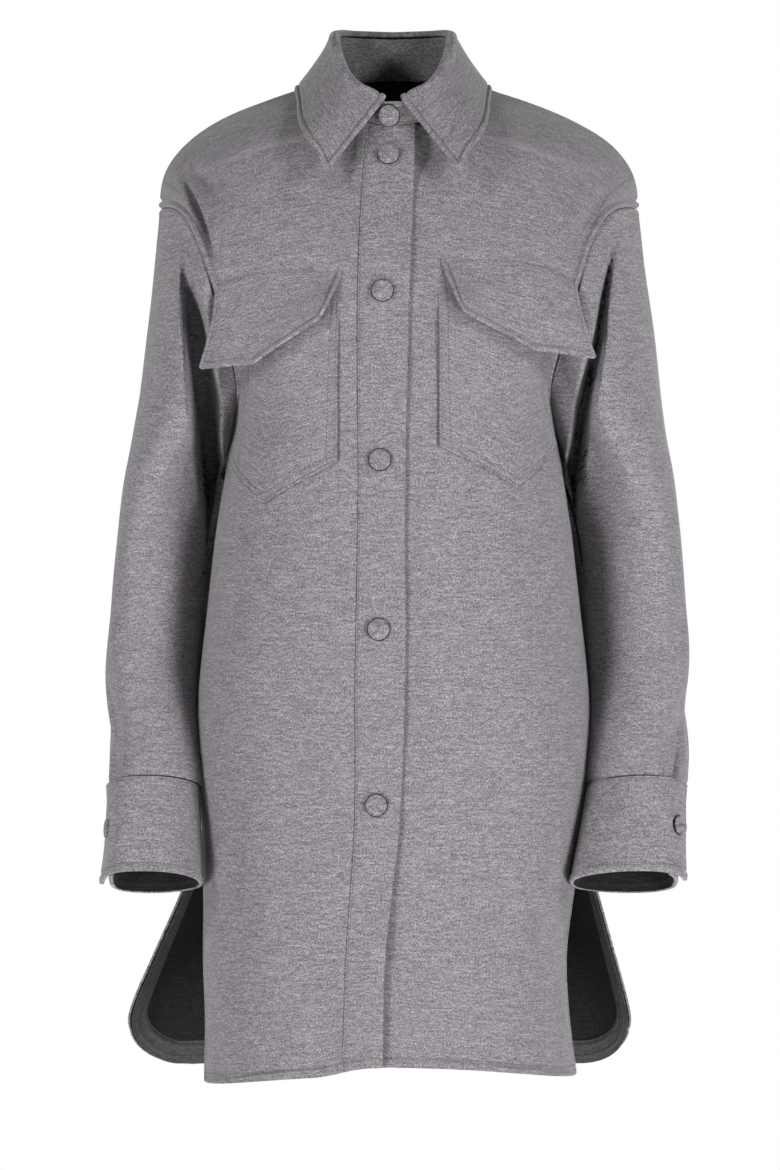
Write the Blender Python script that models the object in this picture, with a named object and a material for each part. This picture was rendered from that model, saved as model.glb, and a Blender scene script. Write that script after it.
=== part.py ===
"""Long wool utility coat, buttoned and filled out as worn, as hollow cloth walls.

Metres, +Z up, the coat's front faces -Y and its own left is +X. The origin is the middle of
the neck at shoulder level. "run" goes up a body panel from 0 at the hem to 1 at the shoulder seam,
and "across" goes from 0 at the middle of the coat to 1 at a panel's outer edge, below 0 on the -X side.
"""
import math

import bmesh
import bpy
import numpy as np
from mathutils import Vector

# Driving dimensions
WALL = 0.0024             # one layer of milled wool cloth
CUFF_WALL = 0.0040        # two layers and interlining
LEAF_WALL = 0.0036        # collar leaf, two layers
PATCH_WALL = 0.0020       # patch pockets
FLAP_WALL = 0.0030        # pocket flaps, two layers
FACING_WALL = 0.0012      # bound hem facing
SEAM_GAP = 0.0004         # between two pieces that are sewn edge to edge
EDGE_TRIM = 1e-9          # keeps a row's first point on its own side of the middle
SAME_PLACE = 1e-6         # two seam points nearer than this are one
SHARP_SEAM = 0.78         # cosine below which two walls fold apart at a seam and share no mitre
LAY_GAP = 0.0009          # between a piece and the panel that it lies on
PATCH_GAP = 0.0014        # the same for the pockets and flaps, which bend round the chest
FACING_GAP = 0.0026       # the same for the facing inside the back tail
STACK_STEP = 0.0034       # left front under the placket, below the outer surface
TAIL_CORNER = 0.055       # height of the back tail's rounded corners
TAIL_CORNER_WIDE = 0.095  # their width along the hem
HEM_CORNER = 0.010        # radius of the front hem's corners
FACING_WIDTH = 0.022
BUTTON_RADIUS = 0.0105
BUTTON_HEIGHT = 0.0048
CUFF_LENGTH = 0.090
CUFF_TILT = math.radians(16.0)     # a cuff leans forward
CUFF_LAP = math.radians(38.0)      # how far a cuff laps over itself

# Rows along a panel: hem, top of the side vent, underarm, neck and shoulder seam
RUN_VENT = 0.217
RUN_ARM = 0.600
RUN_NECK = 0.880
RUN_TIP = 1.000

# Mesh resolution
CORNER_STEPS = 3
VENT_STEPS = 5
SIDE_STEPS = 9
CHEST_STEPS = 8
NECK_STEPS = 5
ACROSS_STEPS = 10
SLEEVE_STEPS = 16
ROUND_STEPS = 16

# Middle of the front: run, x, y, z, squareness of the section, its turn in degrees, shoulder drape
FRONT_MIDDLE = (
    (0.000, 0.000, -0.150, -0.890, 2.3, 86, 0.00),
    (0.107, 0.000, -0.149, -0.795, 2.3, 88, 0.00),
    (0.217, 0.000, -0.147, -0.690, 2.3, 90, 0.00),
    (0.307, 0.000, -0.144, -0.600, 2.3, 90, 0.00),
    (0.437, 0.000, -0.138, -0.470, 2.3, 90, 0.00),
    (0.517, 0.000, -0.134, -0.390, 2.3, 90, 0.00),
    (0.600, 0.000, -0.130, -0.305, 2.3, 90, 0.00),
    (0.640, 0.000, -0.129, -0.268, 2.3, 84, 0.00),
    (0.675, 0.000, -0.127, -0.232, 2.2, 74, 0.00),
    (0.750, 0.000, -0.119, -0.160, 2.1, 60, 0.00),
    (0.800, 0.000, -0.106, -0.112, 2.1, 55, 0.15),
    (0.840, 0.000, -0.090, -0.070, 2.1, 52, 0.40),
    (0.880, 0.000, -0.072, -0.033, 2.1, 50, 0.70),
)
# Neckline of the front, the same columns
FRONT_NECK = (
    (0.880, 0.000, -0.072, -0.033, 2.1, 50, 0.70),
    (0.900, 0.021, -0.069, -0.031, 2.1, 50, 0.78),
    (0.920, 0.038, -0.060, -0.025, 2.1, 50, 0.85),
    (0.960, 0.059, -0.030, -0.006, 2.1, 50, 0.95),
    (1.000, 0.066, 0.005, 0.012, 2.1, 50, 1.00),
)
# Middle of the back, the same columns
BACK_MIDDLE = (
    (0.000, 0.000, 0.152, -0.915, 2.2, 66, 0.00),
    (0.057, 0.000, 0.150, -0.852, 2.2, 68, 0.00),
    (0.107, 0.000, 0.147, -0.800, 2.2, 74, 0.00),
    (0.162, 0.000, 0.143, -0.745, 2.2, 82, 0.00),
    (0.217, 0.000, 0.140, -0.690, 2.2, 90, 0.00),
    (0.307, 0.000, 0.135, -0.600, 2.2, 90, 0.00),
    (0.437, 0.000, 0.128, -0.470, 2.2, 90, 0.00),
    (0.517, 0.000, 0.125, -0.390, 2.2, 90, 0.00),
    (0.600, 0.000, 0.121, -0.305, 2.2, 90, 0.00),
    (0.640, 0.000, 0.120, -0.262, 2.2, 84, 0.00),
    (0.675, 0.000, 0.119, -0.225, 2.2, 74, 0.00),
    (0.750, 0.000, 0.115, -0.150, 2.1, 60, 0.05),
    (0.800, 0.000, 0.109, -0.095, 2.1, 55, 0.20),
    (0.840, 0.000, 0.096, -0.040, 2.1, 52, 0.45),
    (0.880, 0.000, 0.068, 0.022, 2.1, 50, 0.75),
)
# Neckline of the back, the same columns
BACK_NECK = (
    (0.880, 0.000, 0.068, 0.022, 2.1, 50, 0.75),
    (0.900, 0.020, 0.065, 0.021, 2.1, 50, 0.82),
    (0.920, 0.037, 0.056, 0.020, 2.1, 50, 0.88),
    (0.960, 0.059, 0.032, 0.016, 2.1, 50, 0.95),
    (1.000, 0.066, 0.005, 0.012, 2.1, 50, 1.00),
)
# Outer edges: run, x on the coat's left, x on the coat's right, y, z
FRONT_VENT = (
    (0.000, 0.169, 0.174, -0.036, -0.907),
    (0.057, 0.162, 0.173, -0.031, -0.850),
    (0.107, 0.160, 0.175, -0.024, -0.800),
    (0.165, 0.167, 0.175, -0.014, -0.742),
    (0.217, 0.175, 0.177, -0.004, -0.690),
)
BACK_VENT = (
    (0.000, 0.234, 0.262, 0.064, -0.912),
    (0.057, 0.222, 0.246, 0.046, -0.850),
    (0.107, 0.208, 0.224, 0.028, -0.800),
    (0.162, 0.192, 0.199, 0.011, -0.745),
    (0.217, 0.175, 0.177, -0.004, -0.690),
)
SIDE_SEAM = (
    (0.217, 0.175, 0.177, -0.004, -0.690),
    (0.307, 0.184, 0.183, 0.000, -0.600),
    (0.437, 0.173, 0.171, 0.000, -0.470),
    (0.517, 0.163, 0.162, 0.000, -0.390),
    (0.600, 0.150, 0.148, 0.000, -0.311),
)
ARMHOLE_FRONT = (
    (0.600, 0.150, 0.148, 0.000, -0.311),
    (0.640, 0.144, 0.143, -0.045, -0.276),
    (0.675, 0.152, 0.149, -0.062, -0.242),
    (0.750, 0.171, 0.167, -0.086, -0.179),
    (0.800, 0.182, 0.179, -0.074, -0.144),
    (0.840, 0.192, 0.188, -0.060, -0.124),
    (0.880, 0.202, 0.197, -0.044, -0.113),
    (0.920, 0.212, 0.205, -0.028, -0.108),
    (0.960, 0.221, 0.212, -0.011, -0.106),
    (1.000, 0.228, 0.217, 0.004, -0.106),
)
ARMHOLE_BACK = (
    (0.600, 0.150, 0.148, 0.000, -0.311),
    (0.640, 0.160, 0.158, 0.042, -0.283),
    (0.675, 0.170, 0.167, 0.066, -0.250),
    (0.750, 0.186, 0.182, 0.085, -0.185),
    (0.800, 0.195, 0.190, 0.082, -0.152),
    (0.840, 0.203, 0.197, 0.072, -0.131),
    (0.880, 0.211, 0.204, 0.056, -0.118),
    (0.920, 0.218, 0.209, 0.039, -0.110),
    (0.960, 0.224, 0.214, 0.020, -0.106),
    (1.000, 0.228, 0.217, 0.004, -0.106),
)
SHOULDER_SLOPE = 0.40     # share of the shoulder's fall that is a straight slope
SHOULDER_SQUARE = 3.0     # squareness of the rounding that makes up the rest
# Folds pressed into the fronts beside the armholes: side, run and across at both ends, width, depth
FRONT_FOLDS = (
    (+1, 0.800, 0.84, 0.955, 0.84, 0.10, 0.004),
    (-1, 0.800, 0.82, 0.965, 0.86, 0.09, 0.007),
)
# Placket: run, x of its seam, x of its free edge
PLACKET = (
    (0.000, -0.046, -0.009),
    (0.107, -0.043, -0.007),
    (0.237, -0.035, 0.006),
    (0.362, -0.0345, 0.011),
    (0.512, -0.032, 0.011),
    (0.770, -0.031, 0.017),
    (0.880, -0.025, 0.021),
)
UNDER_WIDTH = 0.032       # how far the left front runs in under the placket's free edge
PLACKET_EASE = 0.030      # distance in which the left front comes back to the outer surface

# Sleeves: z, outer x left, outer x right, inner x left, inner x right, middle y, half depth, and how far
# the section leans: above 0 its front lies nearer to the coat's middle than its back
SLEEVE = (
    (-0.106, 0.228, 0.217, 0.118, 0.116, 0.004, 0.072, 0.00),
    (-0.155, 0.234, 0.222, 0.122, 0.120, 0.004, 0.081, 0.00),
    (-0.208, 0.242, 0.228, 0.130, 0.128, 0.005, 0.084, 0.00),
    (-0.274, 0.249, 0.236, 0.141, 0.139, 0.008, 0.084, 0.00),
    (-0.311, 0.2535, 0.241, 0.151, 0.149, 0.011, 0.083, -0.04),
    (-0.350, 0.258, 0.245, 0.162, 0.160, 0.017, 0.080, -0.16),
    (-0.394, 0.261, 0.249, 0.170, 0.168, 0.022, 0.076, -0.24),
    (-0.470, 0.2665, 0.2565, 0.1785, 0.1765, 0.019, 0.070, -0.26),
    (-0.540, 0.270, 0.2615, 0.184, 0.1825, 0.003, 0.064, -0.22),
    (-0.600, 0.273, 0.2645, 0.187, 0.1855, -0.024, 0.054, 0.18),
    (-0.637, 0.275, 0.266, 0.186, 0.183, -0.042, 0.048, 0.20),
    (-0.680, 0.275, 0.267, 0.186, 0.183, -0.054, 0.042, 0.15),
)
SLEEVE_SQUARE = 2.2
ARMHOLE_REACH = 0.5       # share of the sleeve's length that still follows the armhole's shape
# Folds along the sleeves: side, angle from the front in degrees, its width, z of the middle, half length, depth
SLEEVE_FOLDS = (
    (+1, -36, 34, -0.295, 0.150, 0.019),
    (-1, -36, 34, -0.300, 0.145, 0.019),
    (+1, 34, 14, -0.625, 0.060, 0.005),
    (-1, 66, 14, -0.625, 0.060, 0.006),
)
# Cuffs: side, middle x at the top, half width at the top, middle x and half width at the bottom
CUFFS = (
    (+1, 0.2258, 0.0378, 0.2174, 0.0469),
    (-1, 0.2205, 0.0366, 0.2235, 0.0415),
)
SLEEVE_BLOUSE = 0.005     # how far a sleeve's end stands out past its cuff
CUFF_TOP_Y = -0.045
CUFF_TOP_Z = -0.642
CUFF_HALF_DEPTH = 0.041
CUFF_END_ANGLE = math.radians(85.0)       # where the upper end of a cuff lies, from the front
CUFF_BUTTON_DOWN = 0.036
CUFF_BUTTON_RADIUS = 0.0095

# Collar from the front (0) to the middle of the back (1): fold x, y, z, then outer edge x, y, z
COLLAR = (
    (0.00, 0.007, -0.077, -0.010, 0.057, -0.097, -0.070),
    (0.20, 0.036, -0.066, 0.006, 0.071, -0.080, -0.041),
    (0.40, 0.050, -0.040, 0.030, 0.083, -0.043, -0.014),
    (0.55, 0.055, -0.006, 0.053, 0.088, 0.003, 0.009),
    (0.70, 0.051, 0.026, 0.061, 0.082, 0.043, 0.012),
    (0.85, 0.032, 0.051, 0.063, 0.052, 0.074, 0.011),
    (1.00, 0.000, 0.061, 0.063, 0.000, 0.083, 0.010),
)
COLLAR_STEPS = 13
LEAF_ROWS = (0.00, 0.12, 0.35, 0.62, 0.85, 1.00)
LEAF_FLARE = 0.25         # how much the sides of the leaf drop from their fold before they spread
STAND_LAP_OVER = 0.105    # share of a half neckline that the upper end runs past the middle
STAND_LAP_UNDER = 0.060
STAND_EASE = 0.0018       # how far the upper end stands out over the lower one
STAND_END_DROP = 0.022    # how much lower the stand's rounded end is at its tip

# Chest pockets: side, inner x, top z, outer top z, corner z, point z, outer edge as across
POCKETS = (
    (+1, 0.041, -0.186, -0.208, -0.330, -0.369, 0.80),
    (-1, 0.050, -0.194, -0.210, -0.345, -0.382, 0.80),
)
# Flaps: side, inner x, top z, outer top z, inner corner z, point z, tip z, outer edge as across, stand-off
FLAPS = (
    (+1, 0.042, -0.161, -0.182, -0.209, -0.243, -0.246, 0.97, 0.034),
    (-1, 0.046, -0.171, -0.184, -0.214, -0.256, -0.256, 0.97, 0.028),
)
FLAP_SWING = (0.72, -0.69, 0.0)    # the way a flap's outer end stands off, on the coat's left
PATCH_STEPS = 8
POCKET_STEPS = 6
FLAP_STEPS = 4
FLAP_LIFT = 0.0042        # flap above the panel where it passes over the pocket

# Front buttons below the neck: x, z
NECK_BUTTON_X = -0.004
NECK_BUTTON_UP = 0.45              # its place up the stand
BUTTONS = (
    (-0.004, -0.062),
    (-0.0095, -0.190),
    (-0.012, -0.343),
    (-0.013, -0.496),
    (-0.015, -0.654),
)

WOOL_GREY = (0.195, 0.185, 0.200, 1.0)
FACING_GREY = (0.120, 0.118, 0.110, 1.0)


# Curves and panel surfaces
def curve(table, at):
    """Smooth curve through a table's rows, keyed by its first column, read at any keys."""
    rows = np.asarray(table, float)
    keys, values = rows[:, 0], rows[:, 1:]
    slopes = np.gradient(values, keys, axis=0)
    at = np.clip(np.asarray(at, float), keys[0], keys[-1])
    low = np.clip(np.searchsorted(keys, at, side="right") - 1, 0, len(keys) - 2)
    span = (keys[low + 1] - keys[low])[..., None]
    f = (at - keys[low])[..., None] / span
    start, end = values[low], values[low + 1]
    rise, fall = slopes[low] * span, slopes[low + 1] * span
    return ((2 * f**3 - 3 * f**2 + 1) * start + (f**3 - 2 * f**2 + f) * rise
            + (3 * f**2 - 2 * f**3) * end + (f**3 - f**2) * fall)


def ease(f):
    """Smooth step from 0 to 1."""
    f = np.clip(f, 0.0, 1.0)
    return f * f * (3 - 2 * f)


def bump(f):
    """Smooth hill, 1 at 0 and 0 from -1 and 1 on."""
    return 1.0 - ease(np.abs(f))


def inner_edge(is_front, run):
    """A panel's middle line and neckline: x, y, z and the shape of the row that starts there."""
    middle, neck = (FRONT_MIDDLE, FRONT_NECK) if is_front else (BACK_MIDDLE, BACK_NECK)
    return np.where((run > RUN_NECK)[..., None], curve(neck, run), curve(middle, run))


def outer_edge(is_front, run):
    """A panel's outer edge: x on the left, x on the right, y, z."""
    vent = FRONT_VENT if is_front else BACK_VENT
    armhole = ARMHOLE_FRONT if is_front else ARMHOLE_BACK
    low = (run < RUN_VENT)[..., None]
    high = (run > RUN_ARM)[..., None]
    return np.where(low, curve(vent, run), np.where(high, curve(armhole, run), curve(SIDE_SEAM, run)))


def shoulder_profile(f, drape):
    """Fall of a row from the middle (0) to the outer edge (1)."""
    curl = 1.0 - (1.0 - np.minimum(f, 1.0)**SHOULDER_SQUARE)**(1.0 / SHOULDER_SQUARE)
    return (1.0 - drape) * f**2 + drape * (SHOULDER_SLOPE * f + (1.0 - SHOULDER_SLOPE) * curl)


def panel(is_front, run, across):
    """Points of the front or back surface, before any folds."""
    run, across = np.broadcast_arrays(np.asarray(run, float), np.asarray(across, float))
    x_in, y_in, z_in, square, turn, drape = np.moveaxis(inner_edge(is_front, run), -1, 0)
    x_left, x_right, y_out, z_out = np.moveaxis(outer_edge(is_front, run), -1, 0)
    x_out = np.where(across >= 0, x_left, x_right)
    whole = np.radians(turn)
    angle = np.abs(across) * whole
    power = 2.0 / square
    wide = np.sin(angle)**power / np.sin(whole)**power
    deep = (1.0 - np.maximum(np.cos(angle), 0.0)**power) / (1.0 - np.maximum(np.cos(whole), 0.0)**power)
    x = np.where(across >= 0, 1.0, -1.0) * (x_in + (x_out - x_in) * wide)
    y = y_in + (y_out - y_in) * deep
    z = z_in + (z_out - z_in) * shoulder_profile(wide, drape)
    return np.stack([x, y, z], axis=-1)


def across_of(run, x):
    """Signed across of a point x on the front at a run."""
    run, x = np.broadcast_arrays(np.asarray(run, float), np.asarray(x, float))
    x_in, _, _, square, turn, _ = np.moveaxis(inner_edge(True, run), -1, 0)
    x_left, x_right, _, _ = np.moveaxis(outer_edge(True, run), -1, 0)
    x_out = np.where(x >= 0, x_left, x_right)
    whole = np.radians(turn)
    wide = np.clip((np.abs(x) - x_in) / (x_out - x_in), 0.0, 1.0)
    angle = np.arcsin(np.clip(wide**(square / 2.0) * np.sin(whole), 0.0, 1.0))
    return np.where(x >= 0, 1.0, -1.0) * np.minimum(angle / whole, 1.0)


def normal_of(is_front, run, across):
    """Outward unit normals of a panel surface."""
    step = 1e-4
    run, across = np.broadcast_arrays(np.asarray(run, float), np.asarray(across, float))
    right, left = np.minimum(across + step, 1.0), np.maximum(across - step, -1.0)
    sideways = panel(is_front, run, right) - panel(is_front, run, left)
    upward = panel(is_front, run + step, across) - panel(is_front, run - step, across)
    normal = np.cross(sideways, upward) if is_front else np.cross(upward, sideways)
    return normal / np.linalg.norm(normal, axis=-1, keepdims=True)


def run_at(across, z):
    """Run of the front's point with a given across and height."""
    low = np.zeros(np.broadcast(across, z).shape)
    high = np.full_like(low, RUN_NECK)
    for _ in range(40):
        middle = 0.5 * (low + high)
        below = panel(True, middle, across)[..., 2] < z
        low = np.where(below, middle, low)
        high = np.where(below, high, middle)
    return 0.5 * (low + high)


def front_at(x, z):
    """Run and across of the front's point with a given x and height."""
    run = np.full(np.broadcast(x, z).shape, 0.5)
    for _ in range(12):
        run = run_at(across_of(run, x), z)
    return run, across_of(run, x)


def lifted(is_front, run, across, height):
    """Points at a height above a panel's folded surface."""
    points = panel(is_front, run, across)
    if is_front:
        height = height - fold_depth(run, across)
    return points + normal_of(is_front, run, across) * np.asarray(height)[..., None]


def fold_depth(run, across):
    """Depth of the pressed folds in the fronts."""
    depth = np.zeros(np.broadcast(run, across).shape)
    for side, run_a, across_a, run_b, across_b, width, most in FRONT_FOLDS:
        along = (run - run_a) / (run_b - run_a)
        centre = across_a + (across_b - across_a) * np.clip(along, 0.0, 1.0)
        shape = bump((np.abs(across) - centre) / width) * bump(2.0 * along - 1.0)
        depth = depth + np.where(np.sign(across) == side, most * shape, 0.0)
    return depth


# Meshes
def weld(grids, flip=False):
    """One list of points and quads from grids whose meeting points are merged."""
    points, quads, known = [], [], {}

    def index(point):
        key = tuple(np.round(point, 6))
        if key not in known:
            known[key] = len(points)
            points.append(point)
        return known[key]

    for grid in grids:
        numbers = [[index(point) for point in row] for row in grid]
        for lower, upper in zip(numbers, numbers[1:]):
            for i in range(len(lower) - 1):
                quad = (lower[i], lower[i + 1], upper[i + 1], upper[i])
                quads.append(quad[::-1] if flip else quad)
    return np.array(points), quads


def corner_normals(points, quads):
    """Area-weighted unit normals at the points."""
    normals = np.zeros_like(points)
    for quad in quads:
        a, b, c, d = points[list(quad)]
        for number in quad:
            normals[number] += np.cross(c - a, d - b)
    return normals / np.linalg.norm(normals, axis=1, keepdims=True)


def sewn_normals(sheets):
    """Normals of several sheets, shared where their seam points meet."""
    own = {name: corner_normals(points, quads) for name, (points, quads) in sheets.items()}
    all_points = np.concatenate([points for points, _ in sheets.values()])
    all_normals = np.concatenate(list(own.values()))
    result = {}
    for name, (points, _) in sheets.items():
        apart = np.linalg.norm(points[:, None] - all_points[None], axis=-1)
        mean = (apart < SAME_PLACE).astype(float) @ all_normals
        mean /= np.linalg.norm(mean, axis=1, keepdims=True)
        mitre = np.sum(mean * own[name], axis=1)
        sharp = (mitre < SHARP_SEAM)[:, None]
        result[name] = np.where(sharp, own[name], mean / np.maximum(mitre, SHARP_SEAM)[:, None])
    return result


def border(quads):
    """Directed edges that only one quad has."""
    edges = [(quad[i], quad[(i + 1) % 4]) for quad in quads for i in range(4)]
    known = set(edges)
    return [(a, b) for a, b in edges if (b, a) not in known]


def shrink(points, quads, amount):
    """Move the border in, within the sheet, by an amount."""
    inward = np.zeros_like(points)
    normals = corner_normals(points, quads)
    for a, b in border(quads):
        side = np.cross(normals[a] + normals[b], points[b] - points[a])
        inward[[a, b]] += side / np.linalg.norm(side)
    length = np.linalg.norm(inward, axis=1, keepdims=True)
    return points + amount * np.divide(inward, length, out=np.zeros_like(inward), where=length > 0)


def wall_mesh(points, quads, normals, lower, upper):
    """Closed wall between two offsets from a sheet."""
    count = len(points)
    corners = np.concatenate([points + normals * upper, points + normals * lower])
    faces = list(quads)
    faces += [tuple(number + count for number in quad[::-1]) for quad in quads]
    faces += [(b, a, a + count, b + count) for a, b in border(quads)]
    return corners, faces


def add_object(name, points, faces, colour=WOOL_GREY, roughness=0.9):
    """A named object with its own material."""
    mesh = bpy.data.meshes.new(name)
    mesh.from_pydata([tuple(point) for point in points], [], [tuple(face) for face in faces])
    mesh.validate()
    mesh.shade_smooth()
    mesh.set_sharp_from_angle(angle=math.radians(40))
    material = bpy.data.materials.new(name + "_wool")
    material.use_nodes = True
    shader = material.node_tree.nodes["Principled BSDF"]
    shader.inputs["Base Color"].default_value = colour
    shader.inputs["Roughness"].default_value = roughness
    shader.inputs["Metallic"].default_value = 0.0
    mesh.materials.append(material)
    thing = bpy.data.objects.new(name, mesh)
    bpy.context.scene.collection.objects.link(thing)
    return thing


def add_sheet(name, grids, lower, upper, flip=False, colour=WOOL_GREY):
    """A wall of its own, between two offsets from its grids."""
    points, quads = weld(grids, flip)
    points = shrink(points, quads, SEAM_GAP / 2)
    return add_object(name, *wall_mesh(points, quads, corner_normals(points, quads), lower, upper), colour)


# Body panels
def panel_runs():
    """Rows of the panels' meshes, close together round the tail's corners."""
    turns = np.linspace(0.0, math.pi / 2, CORNER_STEPS + 1)
    corner = TAIL_CORNER * (1.0 - np.cos(turns))
    parts = [corner[:-1],
             np.linspace(TAIL_CORNER, RUN_VENT, VENT_STEPS + 1)[:-1],
             np.linspace(RUN_VENT, RUN_ARM, SIDE_STEPS + 1)[:-1],
             np.linspace(RUN_ARM, RUN_NECK, CHEST_STEPS + 1)[:-1],
             np.linspace(RUN_NECK, RUN_TIP, NECK_STEPS + 1)]
    return np.concatenate(parts)


def row_length(is_front, run, side):
    """Length of a row from the middle to the outer edge."""
    points = panel(is_front, np.full(41, run), side * np.linspace(0.0, 1.0, 41))
    return np.sum(np.linalg.norm(np.diff(points, axis=0), axis=1))


def hem_limit(is_front, run, side):
    """Across of the outer edge, less the rounding of the hem's corner."""
    height, wide = (HEM_CORNER, HEM_CORNER) if is_front else (TAIL_CORNER, TAIL_CORNER_WIDE)
    if run >= height:
        return 1.0
    inset = wide * (1.0 - math.sqrt(1.0 - (1.0 - run / height)**2))
    return 1.0 - inset / row_length(is_front, run, side)


def placket_lines(run):
    """x of the placket's seam and free edge at a run."""
    return np.moveaxis(curve(PLACKET, run), -1, 0)


def front_grid(side):
    """Grid of one front, from its inner edge to the side seam and armhole."""
    rows = []
    for run in panel_runs():
        seam, free = placket_lines(run)
        if side < 0:
            start = -max(abs(across_of(run, seam)), EDGE_TRIM)
        else:
            corner = ease((RUN_NECK - run) / 0.05)
            start = across_of(run, free - UNDER_WIDTH) * corner if run < RUN_NECK else 0.0
        end = side * hem_limit(True, run, side)
        across = start + (end - start) * np.linspace(0.0, 1.0, ACROSS_STEPS + 1)
        x = panel(True, run, across)[:, 0]
        under = 1.0 - ease((x - free) / PLACKET_EASE)
        depth = STACK_STEP * under * (run <= RUN_NECK) if side > 0 else 0.0 * x
        rows.append(lifted(True, np.full_like(across, run), across, -depth))
    return np.array(rows)


def back_grid(side):
    """Grid of one half of the back, from the middle to the side seam and armhole."""
    rows = []
    for run in panel_runs():
        across = np.linspace(0.0, hem_limit(False, run, side), ACROSS_STEPS + 1)
        across[0] = EDGE_TRIM
        rows.append(panel(False, run, side * across))
    return np.array(rows)


def armhole_loop(side):
    """Armhole points from the underarm up the front, over the shoulder and down the back."""
    runs = panel_runs()
    runs = runs[runs >= RUN_ARM - 1e-9]
    front = panel(True, runs, np.full_like(runs, side))
    back = panel(False, runs, np.full_like(runs, side))
    return front, back


# Sleeves
def length_shares(points):
    """Share of a line's length at each of its points."""
    steps = np.linalg.norm(np.diff(points, axis=0), axis=1)
    return np.concatenate([[0.0], np.cumsum(steps)]) / np.sum(steps)


def rounded(value, square):
    """Superellipse side from a sine or cosine."""
    return np.sign(value) * np.abs(value)**(2.0 / square)


def sleeve_tube(side, angle, z):
    """Points of the hanging sleeve at angles from the front and heights."""
    outer_l, outer_r, inner_l, inner_r, middle_y, half_depth, lean = np.moveaxis(
        curve_down(SLEEVE, z), -1, 0)
    outer, inner = (outer_l, inner_l) if side > 0 else (outer_r, inner_r)
    sunk = np.zeros_like(z)
    for fold_side, centre, width, z_middle, half_length, depth in SLEEVE_FOLDS:
        if fold_side == side:
            across = bump((np.degrees(angle) - centre) / width)
            sunk = sunk + depth * across * bump((z - z_middle) / half_length)
    half_width = 0.5 * (outer - inner)
    x = 0.5 * (outer + inner) + (half_width - sunk) * rounded(np.sin(angle), SLEEVE_SQUARE)
    y = middle_y - (half_depth - sunk) * rounded(np.cos(angle), SLEEVE_SQUARE)
    return np.stack([side * (x + lean * (y - middle_y)), y, z], axis=-1)


def curve_down(table, z):
    """Like curve, for a table whose first column is a height that falls."""
    return curve([(-row[0], *row[1:]) for row in table], -np.asarray(z))


def cuff_frame(side):
    """Top middle of a cuff, and its directions along the sleeve and to its front."""
    top_x = next(row[1] for row in CUFFS if row[0] == side)
    top = np.array([side * top_x, CUFF_TOP_Y, CUFF_TOP_Z])
    along = np.array([0.0, -math.sin(CUFF_TILT), -math.cos(CUFF_TILT)])
    forward = np.array([0.0, -math.cos(CUFF_TILT), math.sin(CUFF_TILT)])
    return top, along, forward


def sleeve_grid(side):
    """Rings of a sleeve from the armhole to the top of the cuff."""
    front, back = armhole_loop(side)
    ring = np.concatenate([front, back[::-1][1:]])
    angle = np.concatenate([-0.5 + length_shares(front), 1.5 - length_shares(back)[::-1][1:]]) * math.pi
    top, along, forward = cuff_frame(side)
    half_width = next(row[2] for row in CUFFS if row[0] == side)
    end = (top - along * 2 * SEAM_GAP
           + np.outer(rounded(np.sin(angle), SLEEVE_SQUARE), [side * (half_width + SLEEVE_BLOUSE), 0, 0])
           + np.outer(rounded(np.cos(angle), SLEEVE_SQUARE), forward * (CUFF_HALF_DEPTH + SLEEVE_BLOUSE)))
    start_shift = ring - sleeve_tube(side, angle, ring[:, 2])
    end_shift = end - sleeve_tube(side, angle, end[:, 2])
    rows = []
    for share in np.linspace(0.0, 1.0, SLEEVE_STEPS + 1):
        z = ring[:, 2] + (end[:, 2] - ring[:, 2]) * share
        points = sleeve_tube(side, angle, z)
        points = points + start_shift * (1.0 - ease(share / ARMHOLE_REACH))
        points = points + end_shift * ease((share - 0.7) / 0.3)
        points[-1] = points[0]
        rows.append(points)
    return np.array(rows)


def cuff_grid(side):
    """Strip of a cuff, wound round and lapped on the outer side."""
    _, top_x, top_half, bottom_x, bottom_half = next(row for row in CUFFS if row[0] == side)
    top, along, forward = cuff_frame(side)
    steps = 30
    wound = np.linspace(0.0, 1.0, steps + 1)
    angles = CUFF_END_ANGLE + (wound - 1.0) * (2 * math.pi + CUFF_LAP)
    rise = (CUFF_WALL + 2 * SEAM_GAP) * ease((wound - 0.60) / 0.25)
    rows = []
    for down in np.linspace(0.0, 1.0, 4):
        half = top_half + (bottom_half - top_half) * down
        shift = side * (bottom_x - top_x) * down
        middle = top + along * CUFF_LENGTH * down + np.array([shift, 0.0, 0.0])
        depth = CUFF_HALF_DEPTH * (1.0 + 0.10 * down)
        rows.append(middle
                    + np.outer(rounded(np.sin(angles), SLEEVE_SQUARE) * (half + rise), [side, 0, 0])
                    + np.outer(rounded(np.cos(angles), SLEEVE_SQUARE) * (depth + rise), forward))
    return np.array(rows)


# Collar
def neckline(share):
    """Neckline of the coat's left half from the front (0) to the back (1), on the panels' rows."""
    runs = np.linspace(RUN_NECK, RUN_TIP, NECK_STEPS + 1)
    front = panel(True, runs, np.zeros_like(runs))
    back = panel(False, runs, np.zeros_like(runs))
    points = np.concatenate([front, back[::-1][1:]])
    keys = np.linspace(0.0, 1.0, len(points))
    return np.stack([np.interp(share, keys, points[:, i]) for i in range(3)], axis=-1)


def mirrored(function, place):
    """A half-collar line at a place: 0 at the back, 1 at the left front, -1 at the right front."""
    size = np.abs(place)
    side = np.where(size <= 1.0, np.where(place >= 0, 1.0, -1.0), np.where(place >= 0, -1.0, 1.0))
    share = np.abs(1.0 - size)
    points = function(share)
    return points * np.stack([side, np.ones_like(side), np.ones_like(side)], axis=-1)


def fold_line(share):
    return curve(COLLAR, share)[..., :3]


def leaf_edge(share):
    return curve(COLLAR, share)[..., 3:]


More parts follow.
